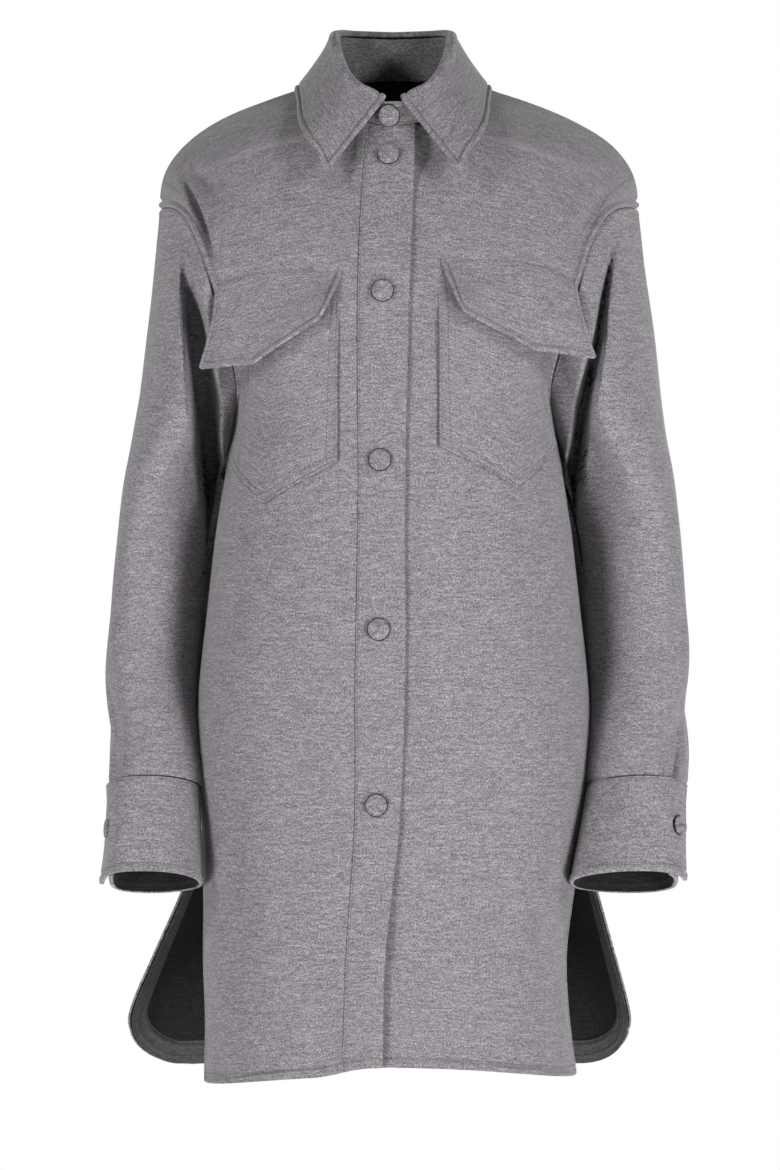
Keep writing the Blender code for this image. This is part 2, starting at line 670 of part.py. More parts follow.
def outward_of(points):
    """Level directions that point away from the neck."""
    tangent = np.gradient(points, axis=0)
    direction = np.stack([tangent[:, 1], -tangent[:, 0], np.zeros(len(points))], axis=-1)
    direction *= np.sign(np.sum(direction * points * [1, 1, 0], axis=1))[:, None]
    return direction / np.linalg.norm(direction, axis=1, keepdims=True)


def stand_grid():
    """Band from the neckline to the collar's fold, its right end lapped over its left end."""
    even = np.linspace(-1.0, 1.0, 4 * NECK_STEPS + 1)
    place = np.concatenate([[-1.0 - STAND_LAP_OVER, -1.0 - STAND_LAP_OVER / 2], even,
                            [1.0 + STAND_LAP_UNDER / 2, 1.0 + STAND_LAP_UNDER]])
    bottom = mirrored(neckline, place)
    top = mirrored(fold_line, place)
    past = np.clip((np.abs(place) - 1.0) / STAND_LAP_OVER, 0.0, 1.0)
    top[:, 2] -= STAND_END_DROP * past**2
    out = outward_of(0.5 * (bottom + top))
    under = ease((place - 0.68) / 0.15)
    over = ease((-place - 0.85) / 0.15)
    shift = out * (STAND_EASE * over - STACK_STEP * under)[:, None]
    bottom = bottom + [0.0, 0.0, 2 * SEAM_GAP] + shift
    top = top + shift
    return np.array([bottom + (top - bottom) * f for f in (0.0, 0.35, 0.7, 1.0)])


def leaf_grid():
    """Turned-down collar leaf, from over the stand's top edge to its outer edge."""
    place = np.linspace(-1.0, 1.0, 2 * COLLAR_STEPS + 1)
    fold = mirrored(fold_line, place)
    edge = mirrored(leaf_edge, place)
    out = outward_of(fold)
    lift = np.array([0.0, 0.0, 3 * SEAM_GAP])
    flare = 1.0 + LEAF_FLARE * ease((1.0 - np.abs(place)) / 0.4)
    rows = [fold + lift - out * WALL]
    for f in LEAF_ROWS:
        spread = np.stack([f**flare, f**flare, np.full_like(flare, f)], axis=-1)
        rows.append(fold + lift * (1.0 - f) + out * 3 * SEAM_GAP + (edge - fold) * spread)
    return np.array(rows)


# Pieces that lie on the fronts
def patch_grid(inner_x, outer_across, side, z_of, height_of, steps_down):
    """Grid on a front, with heights above it: z_of and height_of take shares across and down."""
    wide, down = patch_shares(steps_down)
    z = z_of(wide, down)
    run = np.full_like(z, 0.6)
    for _ in range(8):
        inner = np.abs(across_of(run, inner_x))
        across = side * (inner + (outer_across - inner) * wide)
        run = run_at(across, z)
    return lifted(True, run, across, height_of(wide, down))


def patch_shares(steps_down):
    """Shares across and down of a patch's grid points."""
    return np.meshgrid(np.linspace(0, 1, PATCH_STEPS + 1), np.linspace(0, 1, steps_down + 1))


def sloped_top(wide, top, outer_top):
    """Height of a patch's top edge, which falls towards its outer end."""
    return top + (outer_top - top) * np.clip((wide - 0.45) / 0.55, 0.0, 1.0)**1.5


def pocket_grid(side, inner_x, top, outer_top, corner, point, outer):
    """Patch pocket with a pointed bottom edge."""
    def z_of(wide, down):
        start = sloped_top(wide, top, outer_top)
        bottom = corner + (point - corner) * (1.0 - np.abs(2.0 * wide - 1.0))
        return start + (bottom - start) * down

    return patch_grid(inner_x, outer, side, z_of, lambda wide, down: 0.0 * wide + PATCH_GAP, POCKET_STEPS)


def flap_grid(side, inner_x, top, outer_top, corner, point, tip, outer, stand_off):
    """Pocket flap with a pointed edge, standing off the chest at its outer end."""
    def z_of(wide, down):
        start = sloped_top(wide, top, outer_top)
        half = np.minimum(2.0 * wide, 1.0)
        bottom = np.where(wide < 0.5, corner + (point - corner) * half,
                          point + (tip - point) * (2.0 * wide - 1.0))
        return start + (bottom - start) * down

    def height_of(wide, down):
        return PATCH_GAP + FLAP_LIFT * ease(down / 0.2)

    grid = patch_grid(inner_x, outer, side, z_of, height_of, FLAP_STEPS)
    wide, down = patch_shares(FLAP_STEPS)
    swing = np.array(FLAP_SWING) * [side, 1.0, 1.0]
    return grid + (stand_off * wide**2.2 * down)[..., None] * swing


def placket_grid():
    """Placket strip from its seam to its free edge."""
    runs = panel_runs()
    runs = runs[runs <= RUN_NECK + 1e-9]
    seam, free = placket_lines(runs)
    share = np.linspace(0.0, 1.0, 4)
    x = seam[:, None] + (free - seam)[:, None] * share
    run = np.broadcast_to(runs[:, None], x.shape)
    return panel(True, run, across_of(run, x))


def facing_grid():
    """Strip along the inside of the back tail's vents, corners and hem."""
    edge = SEAM_GAP * 3
    turns = np.linspace(0.0, math.pi / 2, 6)
    heights = np.linspace(RUN_VENT - 0.004, TAIL_CORNER, 7)[:-1]
    lines = []
    for inset in (edge, FACING_WIDTH / 2, FACING_WIDTH):
        high, wide = TAIL_CORNER - inset, TAIL_CORNER_WIDE - inset
        places = [(inset, height) for height in heights]
        places += [(TAIL_CORNER_WIDE - wide * math.cos(t), TAIL_CORNER - high * math.sin(t)) for t in turns]
        right = [tail_point(+1, back_in, height) for back_in, height in places]
        left = [tail_point(-1, back_in, height) for back_in, height in places]
        hem_run = places[-1][1]
        reach = 1.0 - TAIL_CORNER_WIDE / row_length(False, hem_run, +1)
        hem = [tail_across(share, hem_run) for share in np.linspace(reach, -reach, 13)[1:-1]]
        lines.append(right + hem + left[::-1])
    return np.array(lines)


def tail_across(across, run):
    height = -(WALL + FACING_GAP)
    return lifted(False, np.array([run]), np.array([across]), np.array([height]))[0]


def tail_point(side, inset, run):
    """Point inside the back at a distance in from its outer edge."""
    return tail_across(side * (1.0 - inset / row_length(False, run, side)), run)


# Buttons
def add_button(name, centre, normal, radius):
    """Covered button: a domed disc with a rounded rim, turned about its normal."""
    profile = ((0.80, 0.00), (1.00, 0.30), (1.00, 0.58), (0.90, 0.84), (0.50, 0.97))
    axis = Vector(normal).normalized()
    side = axis.orthogonal().normalized()
    front = axis.cross(side)
    bm = bmesh.new()
    rings = []
    for share, height in profile:
        ring = []
        for step in range(ROUND_STEPS):
            turn = 2.0 * math.pi * step / ROUND_STEPS
            flat = side * math.cos(turn) + front * math.sin(turn)
            place = Vector(centre) + flat * radius * share + axis * BUTTON_HEIGHT * height
            ring.append(bm.verts.new(place))
        rings.append(ring)
    for lower, upper in zip(rings, rings[1:]):
        for step in range(ROUND_STEPS):
            after = (step + 1) % ROUND_STEPS
            bm.faces.new((lower[step], lower[after], upper[after], upper[step]))
    bm.faces.new(rings[0][::-1])
    bm.faces.new(rings[-1])
    bm.verts.index_update()
    points = [vert.co.copy() for vert in bm.verts]
    faces = [tuple(vert.index for vert in face.verts) for face in bm.faces]
    bm.free()
    return add_object(name, points, faces, roughness=0.85)


def add_front_buttons(stand):
    """The stand's button, then those down the placket."""
    at_middle = int(np.argmin(np.abs(stand[1][:3, 0] - NECK_BUTTON_X)))
    low, high = stand[0][at_middle], stand[-1][at_middle]
    sideways = stand[0][at_middle - 1] - stand[0][at_middle + 1]
    normal = np.cross(sideways, high - low)
    normal *= -np.sign(normal[1]) / np.linalg.norm(normal)
    middle = low + (high - low) * NECK_BUTTON_UP
    middle[0] = NECK_BUTTON_X
    add_button("button_1", middle + normal * 2 * LAY_GAP, normal, BUTTON_RADIUS)
    for number, (x, z) in enumerate(BUTTONS, start=2):
        run, across = front_at(np.array([x]), np.array([z]))
        normal = normal_of(True, run, across)[0]
        centre = panel(True, run, across)[0] + normal * LAY_GAP
        add_button("button_%d" % number, centre, normal, BUTTON_RADIUS)


def add_cuff_button(name, side, grid):
    """Button near a cuff's upper end."""
    number = -3
    share = CUFF_BUTTON_DOWN / CUFF_LENGTH * (len(grid) - 1)
    row = int(share)
    point = grid[row][number] + (grid[row + 1][number] - grid[row][number]) * (share - row)
    round_edge = grid[row][number - 1] - grid[row][number + 1]
    _, along, _ = cuff_frame(side)
    normal = np.cross(round_edge, along)
    normal *= np.sign(normal[0]) * side / np.linalg.norm(normal)
    add_button(name, point + normal * (CUFF_WALL / 2 + 2 * LAY_GAP), normal, CUFF_BUTTON_RADIUS)


def add_body():
    """Fronts, back, sleeves and placket, whose walls meet on shared seam lines."""
    sheets = {
        "front_right": weld([front_grid(-1)], flip=True),
        "front_left": weld([front_grid(+1)]),
        "back": weld([back_grid(-1)[:, ::-1], back_grid(+1)], flip=True),
        "sleeve_right": weld([sleeve_grid(-1)]),
        "sleeve_left": weld([sleeve_grid(+1)], flip=True),
        "placket": weld([placket_grid()]),
    }
    normals = sewn_normals(sheets)
    for name, (points, quads) in sheets.items():
        points = shrink(points, quads, SEAM_GAP / 2)
        add_object(name, *wall_mesh(points, quads, normals[name], -WALL, 0.0))


def main():
    for thing in list(bpy.data.objects):
        bpy.data.objects.remove(thing, do_unlink=True)
    add_body()
    for side, label in ((-1, "right"), (+1, "left")):
        cuff = cuff_grid(side)
        add_sheet("cuff_" + label, [cuff], -CUFF_WALL / 2, CUFF_WALL / 2, flip=side > 0)
        add_cuff_button("cuff_button_" + label, side, cuff)
        pocket = next(row for row in POCKETS if row[0] == side)
        flap = next(row for row in FLAPS if row[0] == side)
        add_sheet("pocket_" + label, [pocket_grid(*pocket)], 0.0, PATCH_WALL, flip=side > 0)
        add_sheet("flap_" + label, [flap_grid(*flap)], 0.0, FLAP_WALL, flip=side > 0)
    stand = stand_grid()
    add_sheet("collar_stand", [stand], -WALL, 0.0, flip=True)
    add_sheet("collar_leaf", [leaf_grid()], 0.0, LEAF_WALL)
    add_sheet("back_hem_facing", [facing_grid()], -FACING_WALL, 0.0, colour=FACING_GREY)
    add_front_buttons(stand)


main()
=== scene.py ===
import math

import bpy
import numpy as np
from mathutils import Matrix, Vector
from mathutils.bvhtree import BVHTree


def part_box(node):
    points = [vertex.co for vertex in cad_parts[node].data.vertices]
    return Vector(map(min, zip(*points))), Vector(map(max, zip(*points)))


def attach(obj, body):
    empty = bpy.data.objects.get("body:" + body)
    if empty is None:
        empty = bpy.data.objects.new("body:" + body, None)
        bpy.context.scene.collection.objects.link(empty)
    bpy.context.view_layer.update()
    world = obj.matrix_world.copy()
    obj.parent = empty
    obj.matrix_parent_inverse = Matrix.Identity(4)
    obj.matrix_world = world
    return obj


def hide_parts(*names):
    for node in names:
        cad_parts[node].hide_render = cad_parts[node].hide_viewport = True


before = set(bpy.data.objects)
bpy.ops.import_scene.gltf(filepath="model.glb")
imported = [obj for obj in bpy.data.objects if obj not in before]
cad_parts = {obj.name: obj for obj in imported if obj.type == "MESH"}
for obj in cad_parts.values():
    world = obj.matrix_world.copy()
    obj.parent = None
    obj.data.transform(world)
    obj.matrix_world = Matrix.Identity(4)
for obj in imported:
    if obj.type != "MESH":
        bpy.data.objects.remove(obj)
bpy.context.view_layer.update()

# Long wool utility coat. Metres, +Z up, the coat's front faces -Y and its own left is +X.
# "run" goes up a body panel from 0 at the hem to 1 at the shoulder seam, and "across" goes from 0 at the
# middle of the coat to 1 at a panel's outer edge, below 0 on the -X side.

# Driving dimensions
WALL = 0.0024             # one layer of milled wool cloth
CUFF_WALL = 0.0040        # two layers and interlining
LEAF_WALL = 0.0036        # collar leaf, two layers
PATCH_WALL = 0.0020       # patch pockets
FLAP_WALL = 0.0030        # pocket flaps, two layers
FACING_WALL = 0.0012      # bound hem facing
SEAM_GAP = 0.0004         # between two pieces that are sewn edge to edge
EDGE_TRIM = 1e-9          # keeps a row's first point on its own side of the middle
TINY = 1e-12              # keeps the length of a vector above nothing
LAY_GAP = 0.0009          # between a piece and the panel that it lies on
PATCH_GAP = 0.0014        # the same for the pockets and flaps, which bend round the chest
STACK_STEP = 0.0034       # left front under the placket, below the outer surface
TAIL_CORNER = 0.055       # height of the back tail's rounded corners
TAIL_CORNER_WIDE = 0.095  # their width along the hem
HEM_CORNER = 0.010        # radius of the front hem's corners
FACING_WIDTH = 0.022
BUTTON_RADIUS = 0.0105
BUTTON_HEIGHT = 0.0048
CUFF_LENGTH = 0.090
CUFF_TILT = math.radians(16.0)     # a cuff leans forward
CUFF_LAP = math.radians(38.0)      # how far a cuff laps over itself

# Rows along a panel: hem, top of the side vent, underarm, neck and shoulder seam
RUN_VENT = 0.217
RUN_ARM = 0.600
RUN_NECK = 0.880
RUN_TIP = 1.000

# Middle of the front: run, x, y, z, squareness of the section, its turn in degrees, shoulder drape
FRONT_MIDDLE = (
    (0.000, 0.000, -0.150, -0.890, 2.3, 86, 0.00),
    (0.107, 0.000, -0.149, -0.795, 2.3, 88, 0.00),
    (0.217, 0.000, -0.147, -0.690, 2.3, 90, 0.00),
    (0.307, 0.000, -0.144, -0.600, 2.3, 90, 0.00),
    (0.437, 0.000, -0.138, -0.470, 2.3, 90, 0.00),
    (0.517, 0.000, -0.134, -0.390, 2.3, 90, 0.00),
    (0.600, 0.000, -0.130, -0.305, 2.3, 90, 0.00),
    (0.640, 0.000, -0.129, -0.268, 2.3, 84, 0.00),
    (0.675, 0.000, -0.127, -0.232, 2.2, 74, 0.00),
    (0.750, 0.000, -0.119, -0.160, 2.1, 60, 0.00),
    (0.800, 0.000, -0.106, -0.112, 2.1, 55, 0.15),
    (0.840, 0.000, -0.090, -0.070, 2.1, 52, 0.40),
    (0.880, 0.000, -0.072, -0.033, 2.1, 50, 0.70),
)
# Neckline of the front, the same columns
FRONT_NECK = (
    (0.880, 0.000, -0.072, -0.033, 2.1, 50, 0.70),
    (0.900, 0.021, -0.069, -0.031, 2.1, 50, 0.78),
    (0.920, 0.038, -0.060, -0.025, 2.1, 50, 0.85),
    (0.960, 0.059, -0.030, -0.006, 2.1, 50, 0.95),
    (1.000, 0.066, 0.005, 0.012, 2.1, 50, 1.00),
)
# Middle of the back, the same columns
BACK_MIDDLE = (
    (0.000, 0.000, 0.152, -0.915, 2.2, 66, 0.00),
    (0.057, 0.000, 0.150, -0.852, 2.2, 68, 0.00),
    (0.107, 0.000, 0.147, -0.800, 2.2, 74, 0.00),
    (0.162, 0.000, 0.143, -0.745, 2.2, 82, 0.00),
    (0.217, 0.000, 0.140, -0.690, 2.2, 90, 0.00),
    (0.307, 0.000, 0.135, -0.600, 2.2, 90, 0.00),
    (0.437, 0.000, 0.128, -0.470, 2.2, 90, 0.00),
    (0.517, 0.000, 0.125, -0.390, 2.2, 90, 0.00),
    (0.600, 0.000, 0.121, -0.305, 2.2, 90, 0.00),
    (0.640, 0.000, 0.120, -0.262, 2.2, 84, 0.00),
    (0.675, 0.000, 0.119, -0.225, 2.2, 74, 0.00),
    (0.750, 0.000, 0.115, -0.150, 2.1, 60, 0.05),
    (0.800, 0.000, 0.109, -0.095, 2.1, 55, 0.20),
    (0.840, 0.000, 0.096, -0.040, 2.1, 52, 0.45),
    (0.880, 0.000, 0.068, 0.022, 2.1, 50, 0.75),
)
# Neckline of the back, the same columns
BACK_NECK = (
    (0.880, 0.000, 0.068, 0.022, 2.1, 50, 0.75),
    (0.900, 0.020, 0.065, 0.021, 2.1, 50, 0.82),
    (0.920, 0.037, 0.056, 0.020, 2.1, 50, 0.88),
    (0.960, 0.059, 0.032, 0.016, 2.1, 50, 0.95),
    (1.000, 0.066, 0.005, 0.012, 2.1, 50, 1.00),
)
# Outer edges: run, x on the left, x on the right, y, z
FRONT_VENT = (
    (0.000, 0.169, 0.174, -0.036, -0.907),
    (0.057, 0.162, 0.173, -0.031, -0.850),
    (0.107, 0.160, 0.175, -0.024, -0.800),
    (0.165, 0.167, 0.175, -0.014, -0.742),
    (0.217, 0.175, 0.177, -0.004, -0.690),
)
BACK_VENT = (
    (0.000, 0.234, 0.262, 0.064, -0.912),
    (0.057, 0.222, 0.246, 0.046, -0.850),
    (0.107, 0.208, 0.224, 0.028, -0.800),
    (0.162, 0.192, 0.199, 0.011, -0.745),
    (0.217, 0.175, 0.177, -0.004, -0.690),
)
SIDE_SEAM = (
    (0.217, 0.175, 0.177, -0.004, -0.690),
    (0.307, 0.184, 0.183, 0.000, -0.600),
    (0.437, 0.173, 0.171, 0.000, -0.470),
    (0.517, 0.163, 0.162, 0.000, -0.390),
    (0.600, 0.150, 0.148, 0.000, -0.311),
)
ARMHOLE_FRONT = (
    (0.600, 0.150, 0.148, 0.000, -0.311),
    (0.640, 0.144, 0.143, -0.045, -0.276),
    (0.675, 0.152, 0.149, -0.062, -0.242),
    (0.750, 0.171, 0.167, -0.086, -0.179),
    (0.800, 0.182, 0.179, -0.074, -0.144),
    (0.840, 0.192, 0.188, -0.060, -0.124),
    (0.880, 0.202, 0.197, -0.044, -0.113),
    (0.920, 0.212, 0.205, -0.028, -0.108),
    (0.960, 0.221, 0.212, -0.011, -0.106),
    (1.000, 0.228, 0.217, 0.004, -0.106),
)
ARMHOLE_BACK = (
    (0.600, 0.150, 0.148, 0.000, -0.311),
    (0.640, 0.160, 0.158, 0.042, -0.283),
    (0.675, 0.170, 0.167, 0.066, -0.250),
    (0.750, 0.186, 0.182, 0.085, -0.185),
    (0.800, 0.195, 0.190, 0.082, -0.152),
    (0.840, 0.203, 0.197, 0.072, -0.131),
    (0.880, 0.211, 0.204, 0.056, -0.118),
    (0.920, 0.218, 0.209, 0.039, -0.110),
    (0.960, 0.224, 0.214, 0.020, -0.106),
    (1.000, 0.228, 0.217, 0.004, -0.106),
)
SHOULDER_SLOPE = 0.40     # share of the shoulder's fall that is a straight slope
SHOULDER_SQUARE = 3.0     # squareness of the rounding that makes up the rest
# Folds pressed into the fronts beside the armholes: side, run and across at both ends, width, depth
FRONT_FOLDS = (
    (+1, 0.800, 0.84, 0.955, 0.84, 0.10, 0.004),
    (-1, 0.800, 0.82, 0.965, 0.86, 0.09, 0.007),
)
# Placket: run, x of its seam, x of its free edge
PLACKET = (
    (0.000, -0.046, -0.009),
    (0.107, -0.043, -0.007),
    (0.237, -0.035, 0.006),
    (0.362, -0.0345, 0.011),
    (0.512, -0.032, 0.011),
    (0.770, -0.031, 0.017),
    (0.880, -0.025, 0.021),
)
UNDER_WIDTH = 0.032       # how far the left front runs in under the placket's free edge
PLACKET_EASE = 0.030      # distance in which the left front comes back to the outer surface

# Sleeves: z, outer x left, outer x right, inner x left, inner x right, middle y, half depth, and how far
# the section leans: above 0 its front lies nearer to the coat's middle than its back
SLEEVE = (
    (-0.106, 0.228, 0.217, 0.118, 0.116, 0.004, 0.072, 0.00),
    (-0.155, 0.234, 0.222, 0.122, 0.120, 0.004, 0.081, 0.00),
    (-0.208, 0.242, 0.228, 0.130, 0.128, 0.005, 0.084, 0.00),
    (-0.274, 0.249, 0.236, 0.141, 0.139, 0.008, 0.084, 0.00),
    (-0.311, 0.2535, 0.241, 0.151, 0.149, 0.011, 0.083, -0.04),
    (-0.350, 0.258, 0.245, 0.162, 0.160, 0.017, 0.080, -0.16),
    (-0.394, 0.261, 0.249, 0.170, 0.168, 0.022, 0.076, -0.24),
    (-0.470, 0.2665, 0.2565, 0.1785, 0.1765, 0.019, 0.070, -0.26),
    (-0.540, 0.270, 0.2615, 0.184, 0.1825, 0.003, 0.064, -0.22),
    (-0.600, 0.273, 0.2645, 0.187, 0.1855, -0.024, 0.054, 0.18),
    (-0.637, 0.275, 0.266, 0.186, 0.183, -0.042, 0.048, 0.20),
    (-0.680, 0.275, 0.267, 0.186, 0.183, -0.054, 0.042, 0.15),
)
SLEEVE_SQUARE = 2.2
ARMHOLE_REACH = 0.5       # share of the sleeve's length that still follows the armhole's shape
# Folds along the sleeves: side, angle from the front in degrees, its width, z of the middle, half length,
# depth
SLEEVE_FOLDS = (
    (+1, -36, 34, -0.295, 0.150, 0.019),
    (-1, -36, 34, -0.300, 0.145, 0.019),
    (+1, 34, 14, -0.625, 0.060, 0.005),
    (-1, 66, 14, -0.625, 0.060, 0.006),
)
# Cuffs: side, middle x at the top, half width at the top, middle x and half width at the bottom
CUFFS = (
    (+1, 0.2258, 0.0378, 0.2174, 0.0469),
    (-1, 0.2205, 0.0366, 0.2235, 0.0415),
)
SLEEVE_BLOUSE = 0.005     # how far a sleeve's end stands out past its cuff
CUFF_TOP_Y = -0.045
CUFF_TOP_Z = -0.642
CUFF_HALF_DEPTH = 0.041
CUFF_END_ANGLE = math.radians(85.0)       # where the upper end of a cuff lies, from the front
CUFF_BUTTON_DOWN = 0.036
CUFF_BUTTON_RADIUS = 0.0095

# Collar from the front (0) to the middle of the back (1): fold x, y, z, then outer edge x, y, z
COLLAR = (
    (0.00, 0.007, -0.077, -0.010, 0.057, -0.097, -0.070),
    (0.20, 0.036, -0.066, 0.006, 0.071, -0.080, -0.041),
    (0.40, 0.050, -0.040, 0.030, 0.083, -0.043, -0.014),
    (0.55, 0.055, -0.006, 0.053, 0.088, 0.003, 0.009),
    (0.70, 0.051, 0.026, 0.061, 0.082, 0.043, 0.012),
    (0.85, 0.032, 0.051, 0.063, 0.052, 0.074, 0.011),
    (1.00, 0.000, 0.061, 0.063, 0.000, 0.083, 0.010),
)
LEAF_FLARE = 0.25         # how much the sides of the leaf drop from their fold before they spread
STAND_LAP_OVER = 0.105    # share of a half neckline that the upper end runs past the middle
STAND_LAP_UNDER = 0.060
STAND_EASE = 0.0018       # how far the upper end stands out over the lower one
STAND_END_DROP = 0.022    # how much lower the stand's rounded end is at its tip

# Chest pockets: side, inner x, top z, outer top z, corner z, point z, outer edge as across
POCKETS = (
    (+1, 0.041, -0.186, -0.208, -0.330, -0.369, 0.80),
    (-1, 0.050, -0.194, -0.210, -0.345, -0.382, 0.80),
)
# Flaps: side, inner x, top z, outer top z, inner corner z, point z, tip z, outer edge as across, stand-off
FLAPS = (
    (+1, 0.042, -0.161, -0.182, -0.209, -0.243, -0.246, 0.97, 0.034),
    (-1, 0.046, -0.171, -0.184, -0.214, -0.256, -0.256, 0.97, 0.028),
)
FLAP_SWING = (0.72, -0.69, 0.0)    # the way a flap's outer end stands off, on the left
FLAP_LIFT = 0.0042        # flap above the panel where it passes over the pocket

# Front buttons below the neck: x, z
BUTTONS = (
    (-0.004, -0.062),
    (-0.0095, -0.190),
    (-0.012, -0.343),
    (-0.013, -0.496),
    (-0.015, -0.654),
)


# Curves and panel surfaces
def curve(table, at):
    """Smooth curve through a table's rows, keyed by its first column, read at any keys."""
    rows = np.asarray(table, float)
    keys, values = rows[:, 0], rows[:, 1:]
    slopes = np.gradient(values, keys, axis=0)
    at = np.clip(np.asarray(at, float), keys[0], keys[-1])
    low = np.clip(np.searchsorted(keys, at, side="right") - 1, 0, len(keys) - 2)
    span = (keys[low + 1] - keys[low])[..., None]
    f = (at - keys[low])[..., None] / span
    start, end = values[low], values[low + 1]
    rise, fall = slopes[low] * span, slopes[low + 1] * span
    return ((2 * f**3 - 3 * f**2 + 1) * start + (f**3 - 2 * f**2 + f) * rise
            + (3 * f**2 - 2 * f**3) * end + (f**3 - f**2) * fall)


def ease(f):
    """Smooth step from 0 to 1."""
    f = np.clip(f, 0.0, 1.0)
    return f * f * (3 - 2 * f)


def bump(f):
    """Smooth hill, 1 at 0 and 0 from -1 and 1 on."""
    return 1.0 - ease(np.abs(f))


def unit(vectors):
    """Vectors brought to the length 1."""
    return vectors / np.maximum(np.linalg.norm(vectors, axis=-1, keepdims=True), TINY)


def row_of(table, side):
    """The row of a table that starts with a side."""
    return next(row for row in table if row[0] == side)


def inner_edge(is_front, run):
    """A panel's middle line and neckline: x, y, z and the shape of the row that starts there."""
    middle, neck = (FRONT_MIDDLE, FRONT_NECK) if is_front else (BACK_MIDDLE, BACK_NECK)
    return np.where((run > RUN_NECK)[..., None], curve(neck, run), curve(middle, run))


def outer_edge(is_front, run):
    """A panel's outer edge: x on the left, x on the right, y, z."""
    vent = FRONT_VENT if is_front else BACK_VENT
    armhole = ARMHOLE_FRONT if is_front else ARMHOLE_BACK
    low = (run < RUN_VENT)[..., None]
    high = (run > RUN_ARM)[..., None]
    return np.where(low, curve(vent, run), np.where(high, curve(armhole, run), curve(SIDE_SEAM, run)))


def shoulder_profile(f, drape):
    """Fall of a row from the middle (0) to the outer edge (1)."""
    curl = 1.0 - (1.0 - np.minimum(f, 1.0)**SHOULDER_SQUARE)**(1.0 / SHOULDER_SQUARE)
    return (1.0 - drape) * f**2 + drape * (SHOULDER_SLOPE * f + (1.0 - SHOULDER_SLOPE) * curl)


def panel(is_front, run, across):
    """Points of the front or back surface, before any folds."""
    run, across = np.broadcast_arrays(np.asarray(run, float), np.asarray(across, float))
    x_in, y_in, z_in, square, turn, drape = np.moveaxis(inner_edge(is_front, run), -1, 0)
    x_left, x_right, y_out, z_out = np.moveaxis(outer_edge(is_front, run), -1, 0)
    x_out = np.where(across >= 0, x_left, x_right)
    whole = np.radians(turn)
    angle = np.abs(across) * whole
    power = 2.0 / square
    wide = np.sin(angle)**power / np.sin(whole)**power
    deep = (1.0 - np.maximum(np.cos(angle), 0.0)**power) / (1.0 - np.maximum(np.cos(whole), 0.0)**power)
    x = np.where(across >= 0, 1.0, -1.0) * (x_in + (x_out - x_in) * wide)
    y = y_in + (y_out - y_in) * deep
    z = z_in + (z_out - z_in) * shoulder_profile(wide, drape)
    return np.stack([x, y, z], axis=-1)


def across_of(run, x):
    """Signed across of a point x on the front at a run."""
    run, x = np.broadcast_arrays(np.asarray(run, float), np.asarray(x, float))
    x_in, _, _, square, turn, _ = np.moveaxis(inner_edge(True, run), -1, 0)
    x_left, x_right, _, _ = np.moveaxis(outer_edge(True, run), -1, 0)
    x_out = np.where(x >= 0, x_left, x_right)
    whole = np.radians(turn)
    wide = np.clip((np.abs(x) - x_in) / (x_out - x_in), 0.0, 1.0)
    angle = np.arcsin(np.clip(wide**(square / 2.0) * np.sin(whole), 0.0, 1.0))
    return np.where(x >= 0, 1.0, -1.0) * np.minimum(angle / whole, 1.0)


def normal_of(is_front, run, across):
    """Outward unit normals of a panel surface."""
    step = 1e-4
    run, across = np.broadcast_arrays(np.asarray(run, float), np.asarray(across, float))
    right, left = np.minimum(across + step, 1.0), np.maximum(across - step, -1.0)
    sideways = panel(is_front, run, right) - panel(is_front, run, left)
    upward = panel(is_front, run + step, across) - panel(is_front, run - step, across)
    normal = np.cross(sideways, upward) if is_front else np.cross(upward, sideways)
    return unit(normal)


def run_at(across, z):
    """Run of the front's point with a given across and height."""
    low = np.zeros(np.broadcast(across, z).shape)
    high = np.full_like(low, RUN_NECK)
    for _ in range(40):
        middle = 0.5 * (low + high)
        below = panel(True, middle, across)[..., 2] < z
        low = np.where(below, middle, low)
        high = np.where(below, high, middle)
    return 0.5 * (low + high)


def front_at(x, z):
    """Run and across of the front's point with a given x and height."""
    run = np.full(np.broadcast(x, z).shape, 0.5)
    for _ in range(12):
        run = run_at(across_of(run, x), z)
    return run, across_of(run, x)


def lifted(is_front, run, across, height):
    """Points at a height above a panel's folded surface."""
    points = panel(is_front, run, across)
    if is_front:
        height = height - fold_depth(run, across)
    return points + normal_of(is_front, run, across) * np.asarray(height)[..., None]


def fold_depth(run, across):
    """Depth of the pressed folds in the fronts."""
    depth = np.zeros(np.broadcast(run, across).shape)
    for side, run_a, across_a, run_b, across_b, width, most in FRONT_FOLDS:
        along = (run - run_a) / (run_b - run_a)
        centre = across_a + (across_b - across_a) * np.clip(along, 0.0, 1.0)
        shape = bump((np.abs(across) - centre) / width) * bump(2.0 * along - 1.0)
        depth = depth + np.where(np.sign(across) == side, most * shape, 0.0)
    return depth


def row_length(is_front, run, side):
    """Length of a row from the middle to the outer edge."""
    points = panel(is_front, np.full(41, run), side * np.linspace(0.0, 1.0, 41))
    return np.sum(np.linalg.norm(np.diff(points, axis=0), axis=1))


def placket_lines(run):
    """x of the placket's seam and free edge at a run."""
    return np.moveaxis(curve(PLACKET, run), -1, 0)


def length_shares(points):
    """Share of a line's length at each of its points."""
    steps = np.linalg.norm(np.diff(points, axis=0), axis=1)
    return np.concatenate([[0.0], np.cumsum(steps)]) / np.sum(steps)


def rounded(value, square):
    """Superellipse side from a sine or cosine."""
    return np.sign(value) * np.abs(value)**(2.0 / square)


